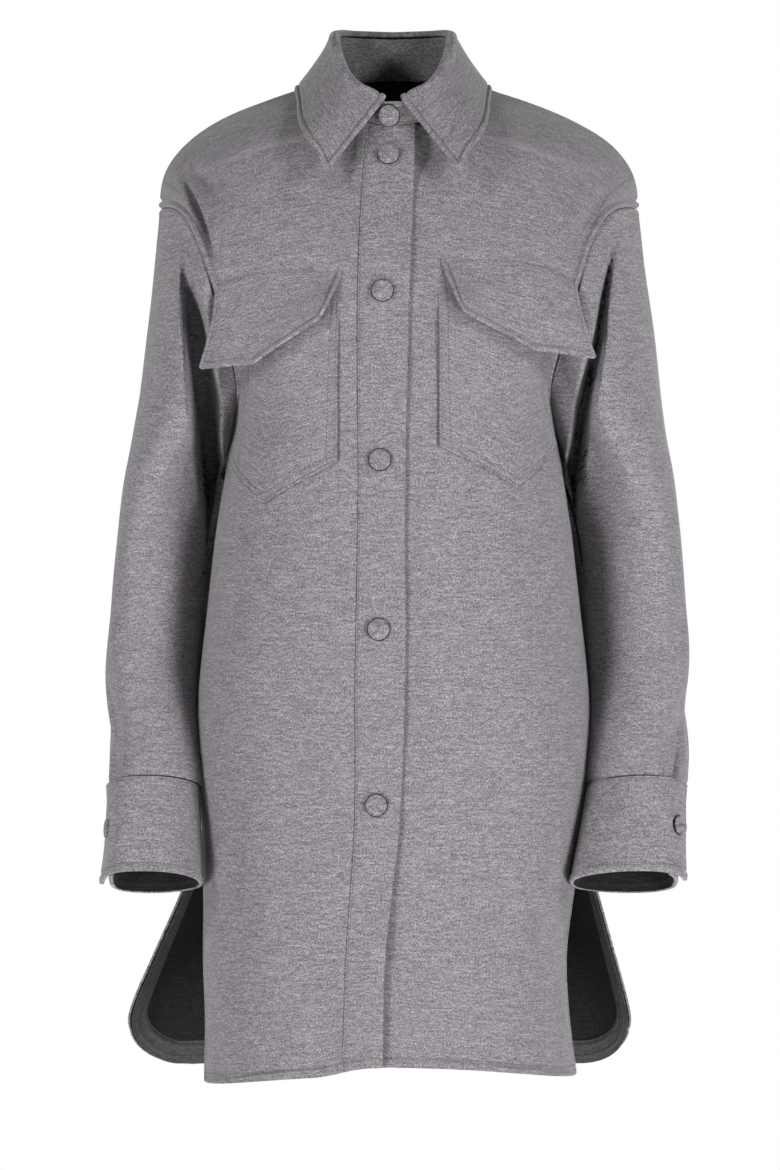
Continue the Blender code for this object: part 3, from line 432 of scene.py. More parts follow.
def sleeve_tube(side, angle, z):
    """Points of the hanging sleeve at angles from the front and heights."""
    outer_l, outer_r, inner_l, inner_r, middle_y, half_depth, lean = np.moveaxis(
        curve_down(SLEEVE, z), -1, 0)
    outer, inner = (outer_l, inner_l) if side > 0 else (outer_r, inner_r)
    sunk = np.zeros_like(z)
    for fold_side, centre, width, z_middle, half_length, depth in SLEEVE_FOLDS:
        if fold_side == side:
            across = bump((np.degrees(angle) - centre) / width)
            sunk = sunk + depth * across * bump((z - z_middle) / half_length)
    half_width = 0.5 * (outer - inner)
    x = 0.5 * (outer + inner) + (half_width - sunk) * rounded(np.sin(angle), SLEEVE_SQUARE)
    y = middle_y - (half_depth - sunk) * rounded(np.cos(angle), SLEEVE_SQUARE)
    return np.stack([side * (x + lean * (y - middle_y)), y, z], axis=-1)


def curve_down(table, z):
    """Like curve, for a table whose first column is a height that falls."""
    return curve([(-row[0], *row[1:]) for row in table], -np.asarray(z))


def cuff_frame(side):
    """Top middle of a cuff, and its directions down its sleeve and to its front."""
    top_x = row_of(CUFFS, side)[1]
    top = np.array([side * top_x, CUFF_TOP_Y, CUFF_TOP_Z])
    along = np.array([0.0, -math.sin(CUFF_TILT), -math.cos(CUFF_TILT)])
    forward = np.array([0.0, -math.cos(CUFF_TILT), math.sin(CUFF_TILT)])
    return top, along, forward


def mirrored(function, place):
    """A half-collar line at a place: 0 at the back, 1 at the left front, -1 at the right front."""
    size = np.abs(place)
    side = np.where(size <= 1.0, np.where(place >= 0, 1.0, -1.0), np.where(place >= 0, -1.0, 1.0))
    share = np.abs(1.0 - size)
    points = function(share)
    return points * np.stack([side, np.ones_like(side), np.ones_like(side)], axis=-1)


def fold_line(share):
    """The collar's fold, from the front (0) to the back (1)."""
    return curve(COLLAR, share)[..., :3]


def leaf_edge(share):
    """The leaf's outer edge, the same way."""
    return curve(COLLAR, share)[..., 3:]


def outward_of(points):
    """Level directions that point away from the neck."""
    tangent = np.gradient(points, axis=0)
    direction = np.stack([tangent[:, 1], -tangent[:, 0], np.zeros(len(points))], axis=-1)
    direction *= np.sign(np.sum(direction * points * [1, 1, 0], axis=1))[:, None]
    return unit(direction)


def sloped_top(wide, top, outer_top):
    """Height of a patch's top edge, which falls towards its outer end."""
    return top + (outer_top - top) * np.clip((wide - 0.45) / 0.55, 0.0, 1.0)**1.5


# Fine cloth
RIM = 0.0009              # how far a cloth edge bulges out past its edge line
EDGE = RIM + SEAM_GAP / 2  # an edge line lies this far inside its seam line
RIM_TURNS = 5
ROW_SAMPLES = 300
RIPPLE = 0.0011           # low waves in the hanging cloth
RIPPLE_LENGTHS = (0.05, 0.08, 0.12, 0.18, 0.26)
RIPPLE_SUM = 0.4          # what the sum of the waves is divided by
THIN_FROM = 0.45          # cosine between a face and its corner at which the wall is thinnest
THIN_LEAST = 0.05         # share of the wall that is left there
THIN_STEP = 0.10          # how fast the wall grows back, from one quad to the next
THIN_ROUNDS = 8

# Sewing: distances of stitch lines from their edges
HEM_STITCH = 0.0095
TAIL_STITCH = 0.0080
ARM_STITCH = 0.0074
LEAF_STITCH = 0.0066
FLAP_STITCH = 0.0058
POCKET_STITCH = 0.0080
CUFF_STITCH = 0.0085
NEAR_STITCH = 0.0022
PLACKET_STITCH = NEAR_STITCH + 0.0003
SEAM_PUFF = 0.0008        # how far cloth swells between an edge and its stitch line
GROOVE_DEPTH = 0.0011
GROOVE_WIDTH = 0.0012
ARM_DIP = 0.0012          # how far the armhole's seam is sunk
ARM_DIP_WIDTH = 0.0024
HEM_GROOVE = 0.0022       # deeper groove along the fronts' hem
HEM_STITCH_STOP = 0.042   # the fronts' hem stitching ends this far from the middle
LEAF_DROP = 0.078         # flat leaf from its fold to its outer edge
LEAF_HALF = 0.19          # half of its length
LEAF_CORNER = 0.002
LEAF_SINK = 0.0045        # how far the fold lies below the solid's fold
LEAF_HANG = 0.0065        # the same for the leaf's outer edge
LEAF_TIP_DROP = 0.0070    # the tips hang this much further
LEAF_OFF = 0.0125         # how far the leaf's front stands off the chest
STAND_SINK = 0.0030       # how far the stand's lower edge reaches below the neckline
NECK_HALF = 0.23          # half of the neckline, turns a place on the stand into a length
# Dimples in the fronts under the leaf: depth, x, half width, z, half height
LEAF_DIMPLES = {-1: (0.0080, -0.050, 0.015, -0.060, 0.025), +1: (0.0105, 0.034, 0.017, -0.050, 0.027)}
HEM_HANG = 0.0068         # how far the right front's hem hangs below its solid beside the vent
FLAP_SLANT = 0.085        # how far a flap's inner edge slants outward, as a share of its width
FLAP_CURL = 0.0075        # how far a flap's bottom edge curls out
FLAP_ROUND = 0.075        # rounding of a flap's inner lower corner, as a share of its width
FLAP_ROUND_RISE = 0.0095
FLAP_END_RISE = 0.005     # the same for its outer lower corner
FLAP_SEWN = 0.0008        # height of a flap's outer side at its sewn edge
POCKET_SEWN = 0.0003      # the same for a pocket
POCKET_BULGE = 0.0024
PLACKET_LIFT = 0.0036     # how far the placket's free edge stands off above the hem
PLACKET_WAVE = 0.0006     # and in low waves all along
PATCH_SLOPE = 0.86        # turns a height above a patch's slanted bottom edge into a distance
FACING_LAY = 0.0006       # between the back's inner side and its facing
FACING_WIDER = {-1: 0.45, +1: 0.05}       # how much wider the facing is beside each vent
FACING_RIM = 0.0006
STITCH_PITCH = 0.0036
STITCH_LENGTH = 0.0026
STITCH_RADIUS = 0.00040
STITCH_SIDES = 5
# Rings of a stitch: place along it, width, height
STITCH_RINGS = ((-1.0, 0.0, -0.9), (-0.72, 0.8, -0.1), (0.0, 1.0, 0.25), (0.72, 0.8, -0.1), (1.0, 0.0, -0.9))
# Rings of a covered button, from its base: share of the radius, share of the height
BUTTON_PROFILE = (
    (0.60, -0.12), (0.97, -0.04), (1.00, 0.06), (0.985, 0.12), (0.915, 0.13), (0.920, 0.30), (0.925, 0.46),
    (0.905, 0.60), (0.86, 0.71), (0.79, 0.79), (0.66, 0.86), (0.48, 0.91), (0.26, 0.94), (0.06, 0.95),
)
BUTTON_SHADE_BANDS = 4           # lowest bands of the profile, painted dark as the shadow round the button
BUTTON_STEPS = 48
SECOND_BUTTON_DROP = 0.0022
CUFF_ROUND = 0.044        # mean radius of a cuff
CUFF_END_SHIFT = {-1: 0.30, +1: 0.0}      # how much further round its upper end lies, in radians
CUFF_STAND_OFF = {-1: 0.0045, +1: 0.002}  # how far that end's lower corner stands off
CUFF_COVERED = 24         # columns at its lower end that carry no stitches
CUFF_BUTTON_LOWER = 0.008
CUFF_BUTTON_IN = 0.022    # distance of a cuff's button from its upper end
CUFF_BUTTON_SINK = {-1: 0.0025, +1: 0.0}

# Creases of the fronts and back: half width, depth, line of x and z
FRONT_CREASES = {
    -1: (
        (0.0027, 0.0150,
         ((-0.195, -0.076), (-0.190, -0.088), (-0.179, -0.115), (-0.169, -0.142), (-0.162, -0.166))),
        (0.0140, 0.0022, ((-0.150, -0.620), (-0.141, -0.740), (-0.146, -0.880))),
        (0.0170, 0.0020, ((-0.092, -0.500), (-0.086, -0.660), (-0.094, -0.860))),
        (0.0100, 0.0016, ((-0.158, -0.380), (-0.128, -0.412), (-0.096, -0.424))),
    ),
    +1: (
        (0.0075, 0.0065, ((0.203, -0.082), (0.190, -0.108), (0.172, -0.140), (0.160, -0.166))),
        (0.0130, 0.0024, ((0.030, -0.640), (0.016, -0.760), (0.010, -0.870))),
        (0.0150, 0.0020, ((0.088, -0.520), (0.096, -0.680), (0.084, -0.860))),
        (0.0110, 0.0018, ((0.160, -0.376), (0.130, -0.404), (0.100, -0.412))),
    ),
}
BACK_CREASES = (
    (0.0060, 0.0060, ((-0.198, -0.092), (-0.182, -0.128), (-0.170, -0.170))),
    (0.0070, 0.0055, ((0.204, -0.094), (0.188, -0.132), (0.174, -0.178))),
    (0.0160, 0.0032, ((-0.128, -0.210), (-0.112, -0.420), (-0.120, -0.800))),
    (0.0150, 0.0030, ((0.122, -0.220), (0.106, -0.450), (0.118, -0.840))),
    (0.0180, 0.0026, ((-0.046, -0.300), (-0.040, -0.560), (-0.060, -0.880))),
    (0.0170, 0.0026, ((0.052, -0.330), (0.046, -0.600), (0.066, -0.890))),
    (0.0120, 0.0024, ((-0.150, -0.440), (-0.080, -0.470), (-0.010, -0.462))),
    (0.0130, 0.0022, ((0.148, -0.480), (0.086, -0.502), (0.020, -0.496))),
)
# Creases of the sleeves: half width, depth, line of angle from the front in degrees and z
SLEEVE_CREASES = {
    -1: (
        (0.0090, 0.0040, ((150, -0.380), (120, -0.412), (84, -0.420))),
        (0.0080, 0.0045, ((196, -0.410), (160, -0.446), (118, -0.462))),
        (0.0090, 0.0035, ((40, -0.470), (10, -0.500), (-30, -0.500))),
        (0.0070, 0.0030, ((170, -0.540), (130, -0.585), (100, -0.628))),
        (0.0090, 0.0040, ((210, -0.190), (186, -0.240), (170, -0.310))),
    ),
    +1: (
        (0.0090, 0.0040, ((156, -0.392), (126, -0.420), (88, -0.432))),
        (0.0080, 0.0045, ((200, -0.424), (164, -0.456), (116, -0.470))),
        (0.0090, 0.0035, ((46, -0.480), (12, -0.512), (-26, -0.508))),
        (0.0070, 0.0030, ((176, -0.548), (134, -0.590), (104, -0.630))),
        (0.0090, 0.0040, ((214, -0.196), (190, -0.250), (172, -0.318))),
    ),
}
# Deep valleys between a sleeve's hanging fold and its inner part: z, x, half width, depth
SLEEVE_VALLEYS = {
    -1: (
        (-0.150, 0.1935, 0.0040, 0.000),
        (-0.180, 0.1880, 0.0070, 0.020),
        (-0.222, 0.1821, 0.0096, 0.055),
        (-0.276, 0.1762, 0.0110, 0.075),
        (-0.330, 0.1720, 0.0102, 0.080),
        (-0.367, 0.1679, 0.0100, 0.070),
        (-0.412, 0.1688, 0.0067, 0.050),
        (-0.452, 0.1716, 0.0040, 0.022),
        (-0.480, 0.1730, 0.0040, 0.000),
    ),
    +1: (
        (-0.135, 0.2045, 0.0035, 0.000),
        (-0.160, 0.1990, 0.0040, 0.014),
        (-0.195, 0.1930, 0.0048, 0.032),
        (-0.235, 0.1875, 0.0056, 0.050),
        (-0.275, 0.1797, 0.0066, 0.070),
        (-0.326, 0.1715, 0.0066, 0.066),
        (-0.362, 0.1660, 0.0075, 0.058),
        (-0.410, 0.1665, 0.0060, 0.040),
        (-0.450, 0.1685, 0.0040, 0.022),
        (-0.480, 0.1700, 0.0040, 0.000),
    ),
}
# Cuffs: how far the inner back and inner front reach inward, and the outer side lies in, above and below
CUFF_SHIFTS = {-1: (0.0058, 0.0020, 0.0030, 0.0042), +1: (0.0080, 0.0060, 0.0028, 0.0028)}
SLEEVE_ROUND = 0.058      # mean radius of a sleeve, turns angles into lengths
SLEEVE_ROOM = 0.011       # least depth that is left behind a valley
PLEAT_EDGES = (0.2478, 0.2570)     # x of the pleat above the right cuff
PLEAT_DEPTH = 0.0036
SLIT_X = 0.2630           # slit above the left cuff: its x at a height, and how it leans
SLIT_Z = -0.589
SLIT_LEAN = 0.100
SLIT_WIDTH = 0.0014
SLIT_DEPTH = 0.0055
STEP_X = 0.2446           # step in the cloth beside the slit
STEP_DEPTH = 0.0016
CREASE_LIP = 0.14         # height of the rolls beside a crease, as a share of its depth
CREASE_LIP_AT = 2.2       # their distance from it, in its half widths
SIDES = ((-1, "right"), (+1, "left"))
SURFACES = {}             # outer surface of each finished sheet


# Lines and relief
def arc_lengths(lines):
    """Distances along lines of points, from their first points."""
    steps = np.linalg.norm(np.diff(lines, axis=-2), axis=-1)
    return np.concatenate([np.zeros(steps.shape[:-1] + (1,)), np.cumsum(steps, axis=-1)], axis=-1)


def column_lengths(grid):
    """Distances along a grid's columns."""
    return arc_lengths(grid.transpose(1, 0, 2))


def points_at(at, keys, points):
    """Points read between those of a line, at any keys."""
    return np.stack([np.interp(at, keys, points[:, i]) for i in range(3)], axis=-1)


def nearest(values, wanted):
    """Number of the value nearest to a wanted one."""
    return int(np.argmin(np.abs(values - wanted)))


def stations(length, head, tail, count):
    """Places along lines of given lengths: set distances at both ends and even steps between them."""
    length = np.asarray(length, float)[..., None]
    head, tail = np.asarray(head, float), np.asarray(tail, float)
    between = np.linspace(0.0, 1.0, count + 2)[1:-1]
    first = np.broadcast_to(head, length.shape[:-1] + head.shape)
    middle = head[-1] + (length - head[-1] - tail[-1]) * between
    return np.concatenate([first, middle, length - tail[::-1]], axis=-1)


def ladder(*pairs):
    """Distances from an edge: pairs of a step and the distance up to which it is used."""
    places = [0.0]
    for step, end in pairs:
        while places[-1] + step <= end + 1e-9:
            places.append(places[-1] + step)
    return np.array(places)


def crease_relief(u, v, creases):
    """Relief of creases along lines, each with a soft roll on both sides."""
    relief = np.zeros(np.broadcast(u, v).shape)
    for width, depth, line in creases:
        line = np.asarray(line, float)
        starts = arc_lengths(line)
        closest = np.full(relief.shape, np.inf)
        along = np.zeros(relief.shape)
        for a, b, start in zip(line, line[1:], starts):
            step = b - a
            size = np.hypot(step[0], step[1])
            f = np.clip(((u - a[0]) * step[0] + (v - a[1]) * step[1]) / size**2, 0.0, 1.0)
            apart = np.hypot(u - a[0] - f * step[0], v - a[1] - f * step[1])
            along = np.where(apart < closest, (start + f * size) / starts[-1], along)
            closest = np.minimum(apart, closest)
        strength = depth * np.sin(math.pi * np.clip(along, 0.0, 1.0))
        relief = relief - strength * np.exp(-(closest / width)**2)
        relief = relief + CREASE_LIP * strength * np.exp(-((closest - CREASE_LIP_AT * width) / width)**2)
    return relief


def ripple(u, v, seed):
    """Low uneven waves, mostly upright ones."""
    chance = np.random.default_rng(seed)
    waves = np.zeros(np.broadcast(u, v).shape)
    for length in RIPPLE_LENGTHS:
        turn = chance.uniform(-0.9, 0.9)
        phase = chance.uniform(0.0, 2.0 * math.pi)
        forward = u * math.cos(turn) + v * math.sin(turn)
        waves = waves + length * np.sin(2 * math.pi * forward / length + phase)
    return RIPPLE * waves / RIPPLE_SUM


def sewn(apart, at, puff=SEAM_PUFF, depth=GROOVE_DEPTH):
    """Relief beside an edge: cloth swells up to the stitch line, which lies in a groove."""
    swell = puff * np.sin(math.pi * np.clip(apart / at, 0.0, 1.0))
    return swell - depth * np.exp(-((apart - at) / GROOVE_WIDTH)**2)


def corner_inset(runs, height, wide):
    """How far a panel's edge line lies in from its outer edge, at rows up from the hem."""
    f = np.clip((height - runs) / (height - EDGE), 0.0, 1.0)
    return np.where(runs >= height, EDGE, wide - (wide - EDGE) * np.sqrt(1.0 - f**2))


def edge_distance(aside, up, height, wide):
    """Distance from a panel's side edge and hem, round the corner between them."""
    x, y = np.maximum(wide - aside, 0.0), np.maximum(height - up, 0.0)
    f = np.hypot(x / wide, y / height)
    slope = np.hypot(x / wide**2, y / height**2) / np.maximum(f, 1e-6)
    round_corner = (1.0 - f) / np.maximum(slope, 1e-6)
    return np.where((x > 0) & (y > 0), round_corner, np.minimum(aside, up))


# Shells
def weld(grids, flip):
    """Points of grids whose meeting points are merged, their quads, and each grid's point numbers."""
    flat = np.concatenate([grid.reshape(-1, 3) for grid in grids])
    _, first, number = np.unique(np.round(flat, 6) + 0.0, axis=0, return_index=True, return_inverse=True)
    number = number.reshape(-1)
    blocks, quads, start = [], [], 0
    for grid in grids:
        rows, columns = grid.shape[:2]
        block = number[start:start + rows * columns].reshape(rows, columns)
        start += rows * columns
        blocks.append(block)
        quads.append(corner_values(block, flip))
    return flat[first], np.concatenate(quads), blocks


def corner_values(block, flip):
    """A grid's values at the four corners of each of its quads."""
    corners = [block[:-1, :-1], block[:-1, 1:], block[1:, 1:], block[1:, :-1]]
    if flip:
        corners = corners[::-1]
    return np.stack(corners, axis=2).reshape((-1, 4) + block.shape[2:])


def face_crosses(points, quads):
    """Cross products of the quads' diagonals, each twice as long as its quad's area."""
    a, b, c, d = (points[quads[:, i]] for i in range(4))
    return np.cross(c - a, d - b)


def point_normals(points, quads):
    """Unit normals at the points, from the quads around them."""
    face = face_crosses(points, quads)
    normals = np.zeros_like(points)
    for i in range(4):
        np.add.at(normals, quads[:, i], face)
    return unit(normals)


def thinning(points, quads, normals):
    """Share of the full wall at each point, small beside sharp folds so that their sides stay apart."""
    face = unit(face_crosses(points, quads))
    share = np.ones(len(points))
    for i in range(4):
        np.minimum.at(share, quads[:, i], np.sum(face * normals[quads[:, i]], axis=1))
    share = np.clip((share - THIN_FROM) / THIN_FROM, THIN_LEAST, 1.0)
    for _ in range(THIN_ROUNDS):
        least = share[quads].min(axis=1) + THIN_STEP
        for i in range(4):
            np.minimum.at(share, quads[:, i], least)
    return share


def new_object(name, data):
    """Object in the scene."""
    thing = bpy.data.objects.new(name, data)
    bpy.context.scene.collection.objects.link(thing)
    return thing


def new_mesh(name, points, faces, finish, cloth, materials):
    """Object from quads, with each corner's place on the flat cloth."""
    mesh = bpy.data.meshes.new(name)
    mesh.vertices.add(len(points))
    mesh.vertices.foreach_set("co", points.astype(np.float32).ravel())
    mesh.loops.add(faces.size)
    mesh.loops.foreach_set("vertex_index", faces.astype(np.int32).ravel())
    mesh.polygons.add(len(faces))
    mesh.polygons.foreach_set("loop_start", np.arange(0, faces.size, 4, dtype=np.int32))
    mesh.polygons.foreach_set("material_index", finish.astype(np.int32))
    mesh.update(calc_edges=True)
    mesh.shade_smooth()
    places = mesh.attributes.new("cloth", "FLOAT_VECTOR", "CORNER")
    places.data.foreach_set("vector", cloth.astype(np.float32).ravel())
    for material in materials:
        mesh.materials.append(material)
    return new_object(name, mesh)


def cloth_shell(node, layers, lower, upper, flip, materials, rim=RIM):
    """Thin cloth with rounded edges on a node's form. A layer is its points, flat places and relief."""
    seed = float(len(SURFACES) * 7 + 3)
    points, quads, blocks = weld([layer[0] for layer in layers], flip)
    normals = point_normals(points, quads)
    relief = np.zeros(len(points))
    flat = []
    for (_, places, rise), block in zip(layers, blocks):
        relief[block] = rise
        flat.append(corner_values(np.dstack([places, np.full(block.shape, seed)]), flip))
    flat = np.concatenate(flat)
    count = len(points)
    starts = quads.reshape(-1)
    ends = np.roll(quads, -1, axis=1).reshape(-1)
    lone = np.nonzero(~np.isin(starts * count + ends, ends * count + starts))[0]
    after = lone // 4 * 4 + (lone + 1) % 4
    starts, ends = starts[lone], ends[lone]
    outer = points + normals * (upper + relief)[:, None]
    inner = points + normals * (upper + relief - (upper - lower) * thinning(points, quads, normals))[:, None]
    side = unit(np.cross(normals[starts] + normals[ends], points[ends] - points[starts]))
    inward = np.zeros_like(points)
    np.add.at(inward, starts, side)
    np.add.at(inward, ends, side)
    edge = np.unique(starts)
    inward = unit(inward[edge])
    middle, half = 0.5 * (outer + inner)[edge], 0.5 * (outer - inner)[edge]
    turns = np.linspace(0.0, math.pi, RIM_TURNS + 1)[1:-1]
    rings = [middle + half * math.cos(t) - inward * rim * math.sin(t) for t in turns]
    order = np.zeros(count, int)
    order[edge] = np.arange(len(edge))
    levels = [np.arange(count)] + [2 * count + k * len(edge) + order for k in range(len(rings))]
    levels.append(np.arange(count) + count)
    faces, places, finish = [quads, quads[:, ::-1] + count], [flat, flat[:, ::-1]], [0, 1]
    at_start, at_end = flat.reshape(-1, 3)[lone], flat.reshape(-1, 3)[after]
    for above, below in zip(levels, levels[1:]):
        faces.append(np.stack([above[ends], above[starts], below[starts], below[ends]], axis=1))
        places.append(np.stack([at_end, at_start, at_start, at_end], axis=1))
        finish.append(0)
    finish = np.concatenate([np.full(len(group), number) for group, number in zip(faces, finish)])
    points = np.concatenate([outer, inner] + rings)
    thing = new_mesh(node + "_cloth", points, np.concatenate(faces), finish, np.concatenate(places), materials)
    SURFACES[node] = BVHTree.FromPolygons(outer.tolist(), quads.tolist())
    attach(thing, "root")
    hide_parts(node)
    length = max(float(np.max(column_lengths(layer[0])[:, -1])) for layer in layers)


def add_stitches(node, lines):
    """Thread stitches along lines, laid on a piece's outer surface."""
    name = "stitches_" + node
    tree = SURFACES[node]
    centres, tangents, normals = [], [], []
    for line in lines:
        line = np.asarray(line, float)
        arcs = arc_lengths(line)
        count = int(arcs[-1] / STITCH_PITCH)
        at = (np.arange(count) + 0.5) * arcs[-1] / max(count, 1)
        reach = 0.4 * STITCH_LENGTH
        hits = []
        for shift in (-reach, 0.0, reach):
            spots = points_at(at + shift, arcs, line)
            hits.append([tree.find_nearest(Vector(spot)) for spot in spots])
        for before, here, behind in zip(*hits):
            tangent = np.array(behind[0] - before[0])
            size = np.linalg.norm(tangent)
            if size > 0.3 * reach:
                centres.append(np.array(here[0]))
                tangents.append(tangent / size)
                normals.append(np.array(here[1]))
    centres, tangents, normals = np.array(centres), np.array(tangents), np.array(normals)
    across = np.cross(normals, tangents)
    points, sides = [], STITCH_SIDES
    for along, wide, high in STITCH_RINGS:
        for step in range(sides if wide else 1):
            turn = 2 * math.pi * step / sides
            points.append(centres + tangents * along * STITCH_LENGTH / 2
                          + across * (math.cos(turn) * wide * STITCH_RADIUS)
                          + normals * ((math.sin(turn) * wide + high) * STITCH_RADIUS))
    points = np.stack(points, axis=1)
    each = points.shape[1]
    pattern = []
    for step in range(sides):
        after = (step + 1) % sides
        pattern.append((0, 1 + step, 1 + after))
        for ring in (0, 1):
            low = 1 + ring * sides
            pattern.append((low + step, low + sides + step, low + sides + after, low + after))
        last = 1 + 2 * sides
        pattern.append((last + after, last + step, each - 1))
    faces = [tuple(number * each + corner for corner in face)
             for number in range(len(points)) for face in pattern]
    mesh = bpy.data.meshes.new(name)
    mesh.from_pydata(points.reshape(-1, 3).tolist(), [], faces)
    mesh.shade_smooth()
    mesh.materials.append(THREAD_PAINTED_SHADE)
    thing = new_object(name, mesh)
    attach(thing, "root")


# Body
RUNS_ABOVE = np.concatenate([       # rows of a panel above its vents
    np.linspace(RUN_VENT, RUN_ARM, 91)[:-1], np.linspace(RUN_ARM, RUN_NECK, 75)[:-1],
    np.linspace(RUN_NECK, RUN_TIP - EDGE, 33)])


def fine_runs(height):
    """Rows of a panel, close together round the corners of its hem."""
    turns = np.linspace(0.0, math.pi / 2, 24)
    corner = height - (height - EDGE) * np.cos(turns)
    step = np.linspace(height, height + 0.010, 8)
    return np.concatenate([corner[:-1], step[:-1], np.linspace(height + 0.010, RUN_VENT, 46)[:-1], RUNS_ABOVE])


def fine_across(is_front, runs, start, side, first, corner, count):
    """Across values of a panel's rows, and their distances from the panel's outer edge."""
    head = ladder((0.0013, 0.008))
    tail = ladder((0.0012, 0.0135), (0.002, 0.030))
    close = 1.0 - np.linspace(1.0, 0.0, ROW_SAMPLES)**4
    sample = start[:, None] + (side - start)[:, None] * close
    arcs = arc_lengths(panel(is_front, runs[:, None], sample))
    length = arcs[:, -1] - first - corner_inset(runs, *corner)
    places = first[:, None] + stations(length, head, tail, count)
    across = np.array([np.interp(*row) for row in zip(places, arcs, sample)])
    return across, arcs[:, -1:] - places, places


def front_waves(side, x, z):
    """Folds and waves that a front and the pieces on it share."""
    return ripple(x, z, 11 if side > 0 else 12) + crease_relief(x, z, FRONT_CREASES[side])


def hem_drop(points):
    """How far the right front's hem hangs lower toward its vent."""
    return HEM_HANG * ease((-points[..., 0] - 0.018) / 0.055) * ease((-0.72 - points[..., 2]) / 0.16)


def body_front(side):
    """Fine grid of a front: points, flat places and relief."""
    corner = (HEM_CORNER, HEM_CORNER)
    runs = fine_runs(HEM_CORNER)
    seam, free = placket_lines(runs)
    if side < 0:
        start = -np.maximum(np.abs(across_of(runs, seam)), EDGE_TRIM)
    else:
        start = across_of(runs, free - UNDER_WIDTH) * ease((RUN_NECK - runs) / 0.05)
        start = np.where(runs < RUN_NECK, start, 0.0)
    across, aside, within = fine_across(True, runs, start, side, np.full_like(runs, EDGE), corner, 46)
    run = np.broadcast_to(runs[:, None], across.shape)
    x, _, z = np.moveaxis(panel(True, run, across), -1, 0)
    past = x - free[:, None]
    most, at_x, half_x, at_z, half_z = LEAF_DIMPLES[side]
    depth = most * np.exp(-((x - at_x) / half_x)**2 - ((z - at_z) / half_z)**2)
    if side > 0:
        depth = STACK_STEP * (1.0 - ease(past / PLACKET_EASE)) * ease((0.905 - run) / 0.03) + depth
    else:
        depth = depth * ease(within / 0.014)
    points = lifted(True, run, across, -depth)
    points[..., 2] -= hem_drop(points)
    up = column_lengths(points).T + EDGE
    fade = ease(aside / 0.02) * (ease((past - 0.004) / 0.03) if side > 0 else ease(within / 0.02))
    relief = front_waves(side, points[..., 0], points[..., 2]) * fade
    hem = sewn(edge_distance(aside, up, *corner), HEM_STITCH, SEAM_PUFF, HEM_GROOVE)
    relief = relief + edge_sewing(run, aside, hem)
    if side < 0:
        relief = relief + sewn(within, NEAR_STITCH, 0.0005, 0.0) * ease((RUN_NECK - run) / 0.02)
    return points, np.dstack([side * within, run]), relief


def body_back(side):
    """Fine grid of a half of the back, the same way."""
    corner = (TAIL_CORNER, TAIL_CORNER_WIDE)
    runs = fine_runs(TAIL_CORNER)
    first = EDGE * ease((runs - RUN_NECK) / 0.02)
    start = np.full_like(runs, side * EDGE_TRIM)
    across, aside, within = fine_across(False, runs, start, side, first, corner, 46)
    run = np.broadcast_to(runs[:, None], across.shape)
    points = panel(False, run, across)
    up = column_lengths(points).T + EDGE
    x, _, z = np.moveaxis(points, -1, 0)
    waves = ripple(x, z, 13) + crease_relief(x, z, BACK_CREASES)
    relief = waves * ease(aside / 0.02) * ease((RUN_TIP - run) / 0.05)
    relief = relief + edge_sewing(run, aside, sewn(edge_distance(aside, up, *corner), TAIL_STITCH))
    return points, np.dstack([side * within, run]), relief


def seam_dip(apart):
    """Depth of the cloth at a distance from the armhole's seam."""
    return ARM_DIP * np.exp(-(apart / ARM_DIP_WIDTH)**2)


def edge_sewing(run, aside, hem):
    """Relief of a panel: the given one beside its vent and hem, and a puffed seam beside its armhole."""
    line = np.exp(-((aside - ARM_STITCH) / 0.0017)**2)
    armhole = sewn(aside, ARM_STITCH, 0.0015, 0.0) - 0.0021 * line - seam_dip(aside)
    return hem * ease((RUN_VENT + 0.012 - run) / 0.012) + armhole * ease((run - RUN_ARM) / 0.03)


def panel_stitch(is_front, side, inset, run_start):
    """Stitch line inside a panel's vent, hem corner and hem."""
    height, wide = (HEM_CORNER, HEM_CORNER) if is_front else (TAIL_CORNER, TAIL_CORNER_WIDE)
    turns = np.linspace(0.0, math.pi / 2, 16)
    places = [(inset, h) for h in np.linspace(run_start, height, 60)[:-1]]
    places += [(wide - (wide - inset) * math.cos(t), height - (height - inset) * math.sin(t))
               for t in turns]
    length = row_length(is_front, inset, side)
    stop = HEM_STITCH_STOP if is_front else 0.0
    places += [(aside, inset) for aside in np.linspace(wide, length - stop, 60)[1:]]
    line = []
    for aside, run in places:
        share = side * max(1.0 - aside / row_length(is_front, run, side), 0.0)
        line.append(panel(is_front, np.array([run]), np.array([share]))[0])
    line = np.array(line)
    if is_front:
        line[:, 2] -= hem_drop(line)
    return line


def armhole_stitch(is_front, side):
    """Stitch line on a panel beside its armhole."""
    runs = np.linspace(RUN_ARM + 0.01, RUN_TIP - 0.004, 80)
    share = [1.0 - ARM_STITCH / row_length(is_front, run, side) for run in runs]
    return panel(is_front, runs, side * np.array(share))


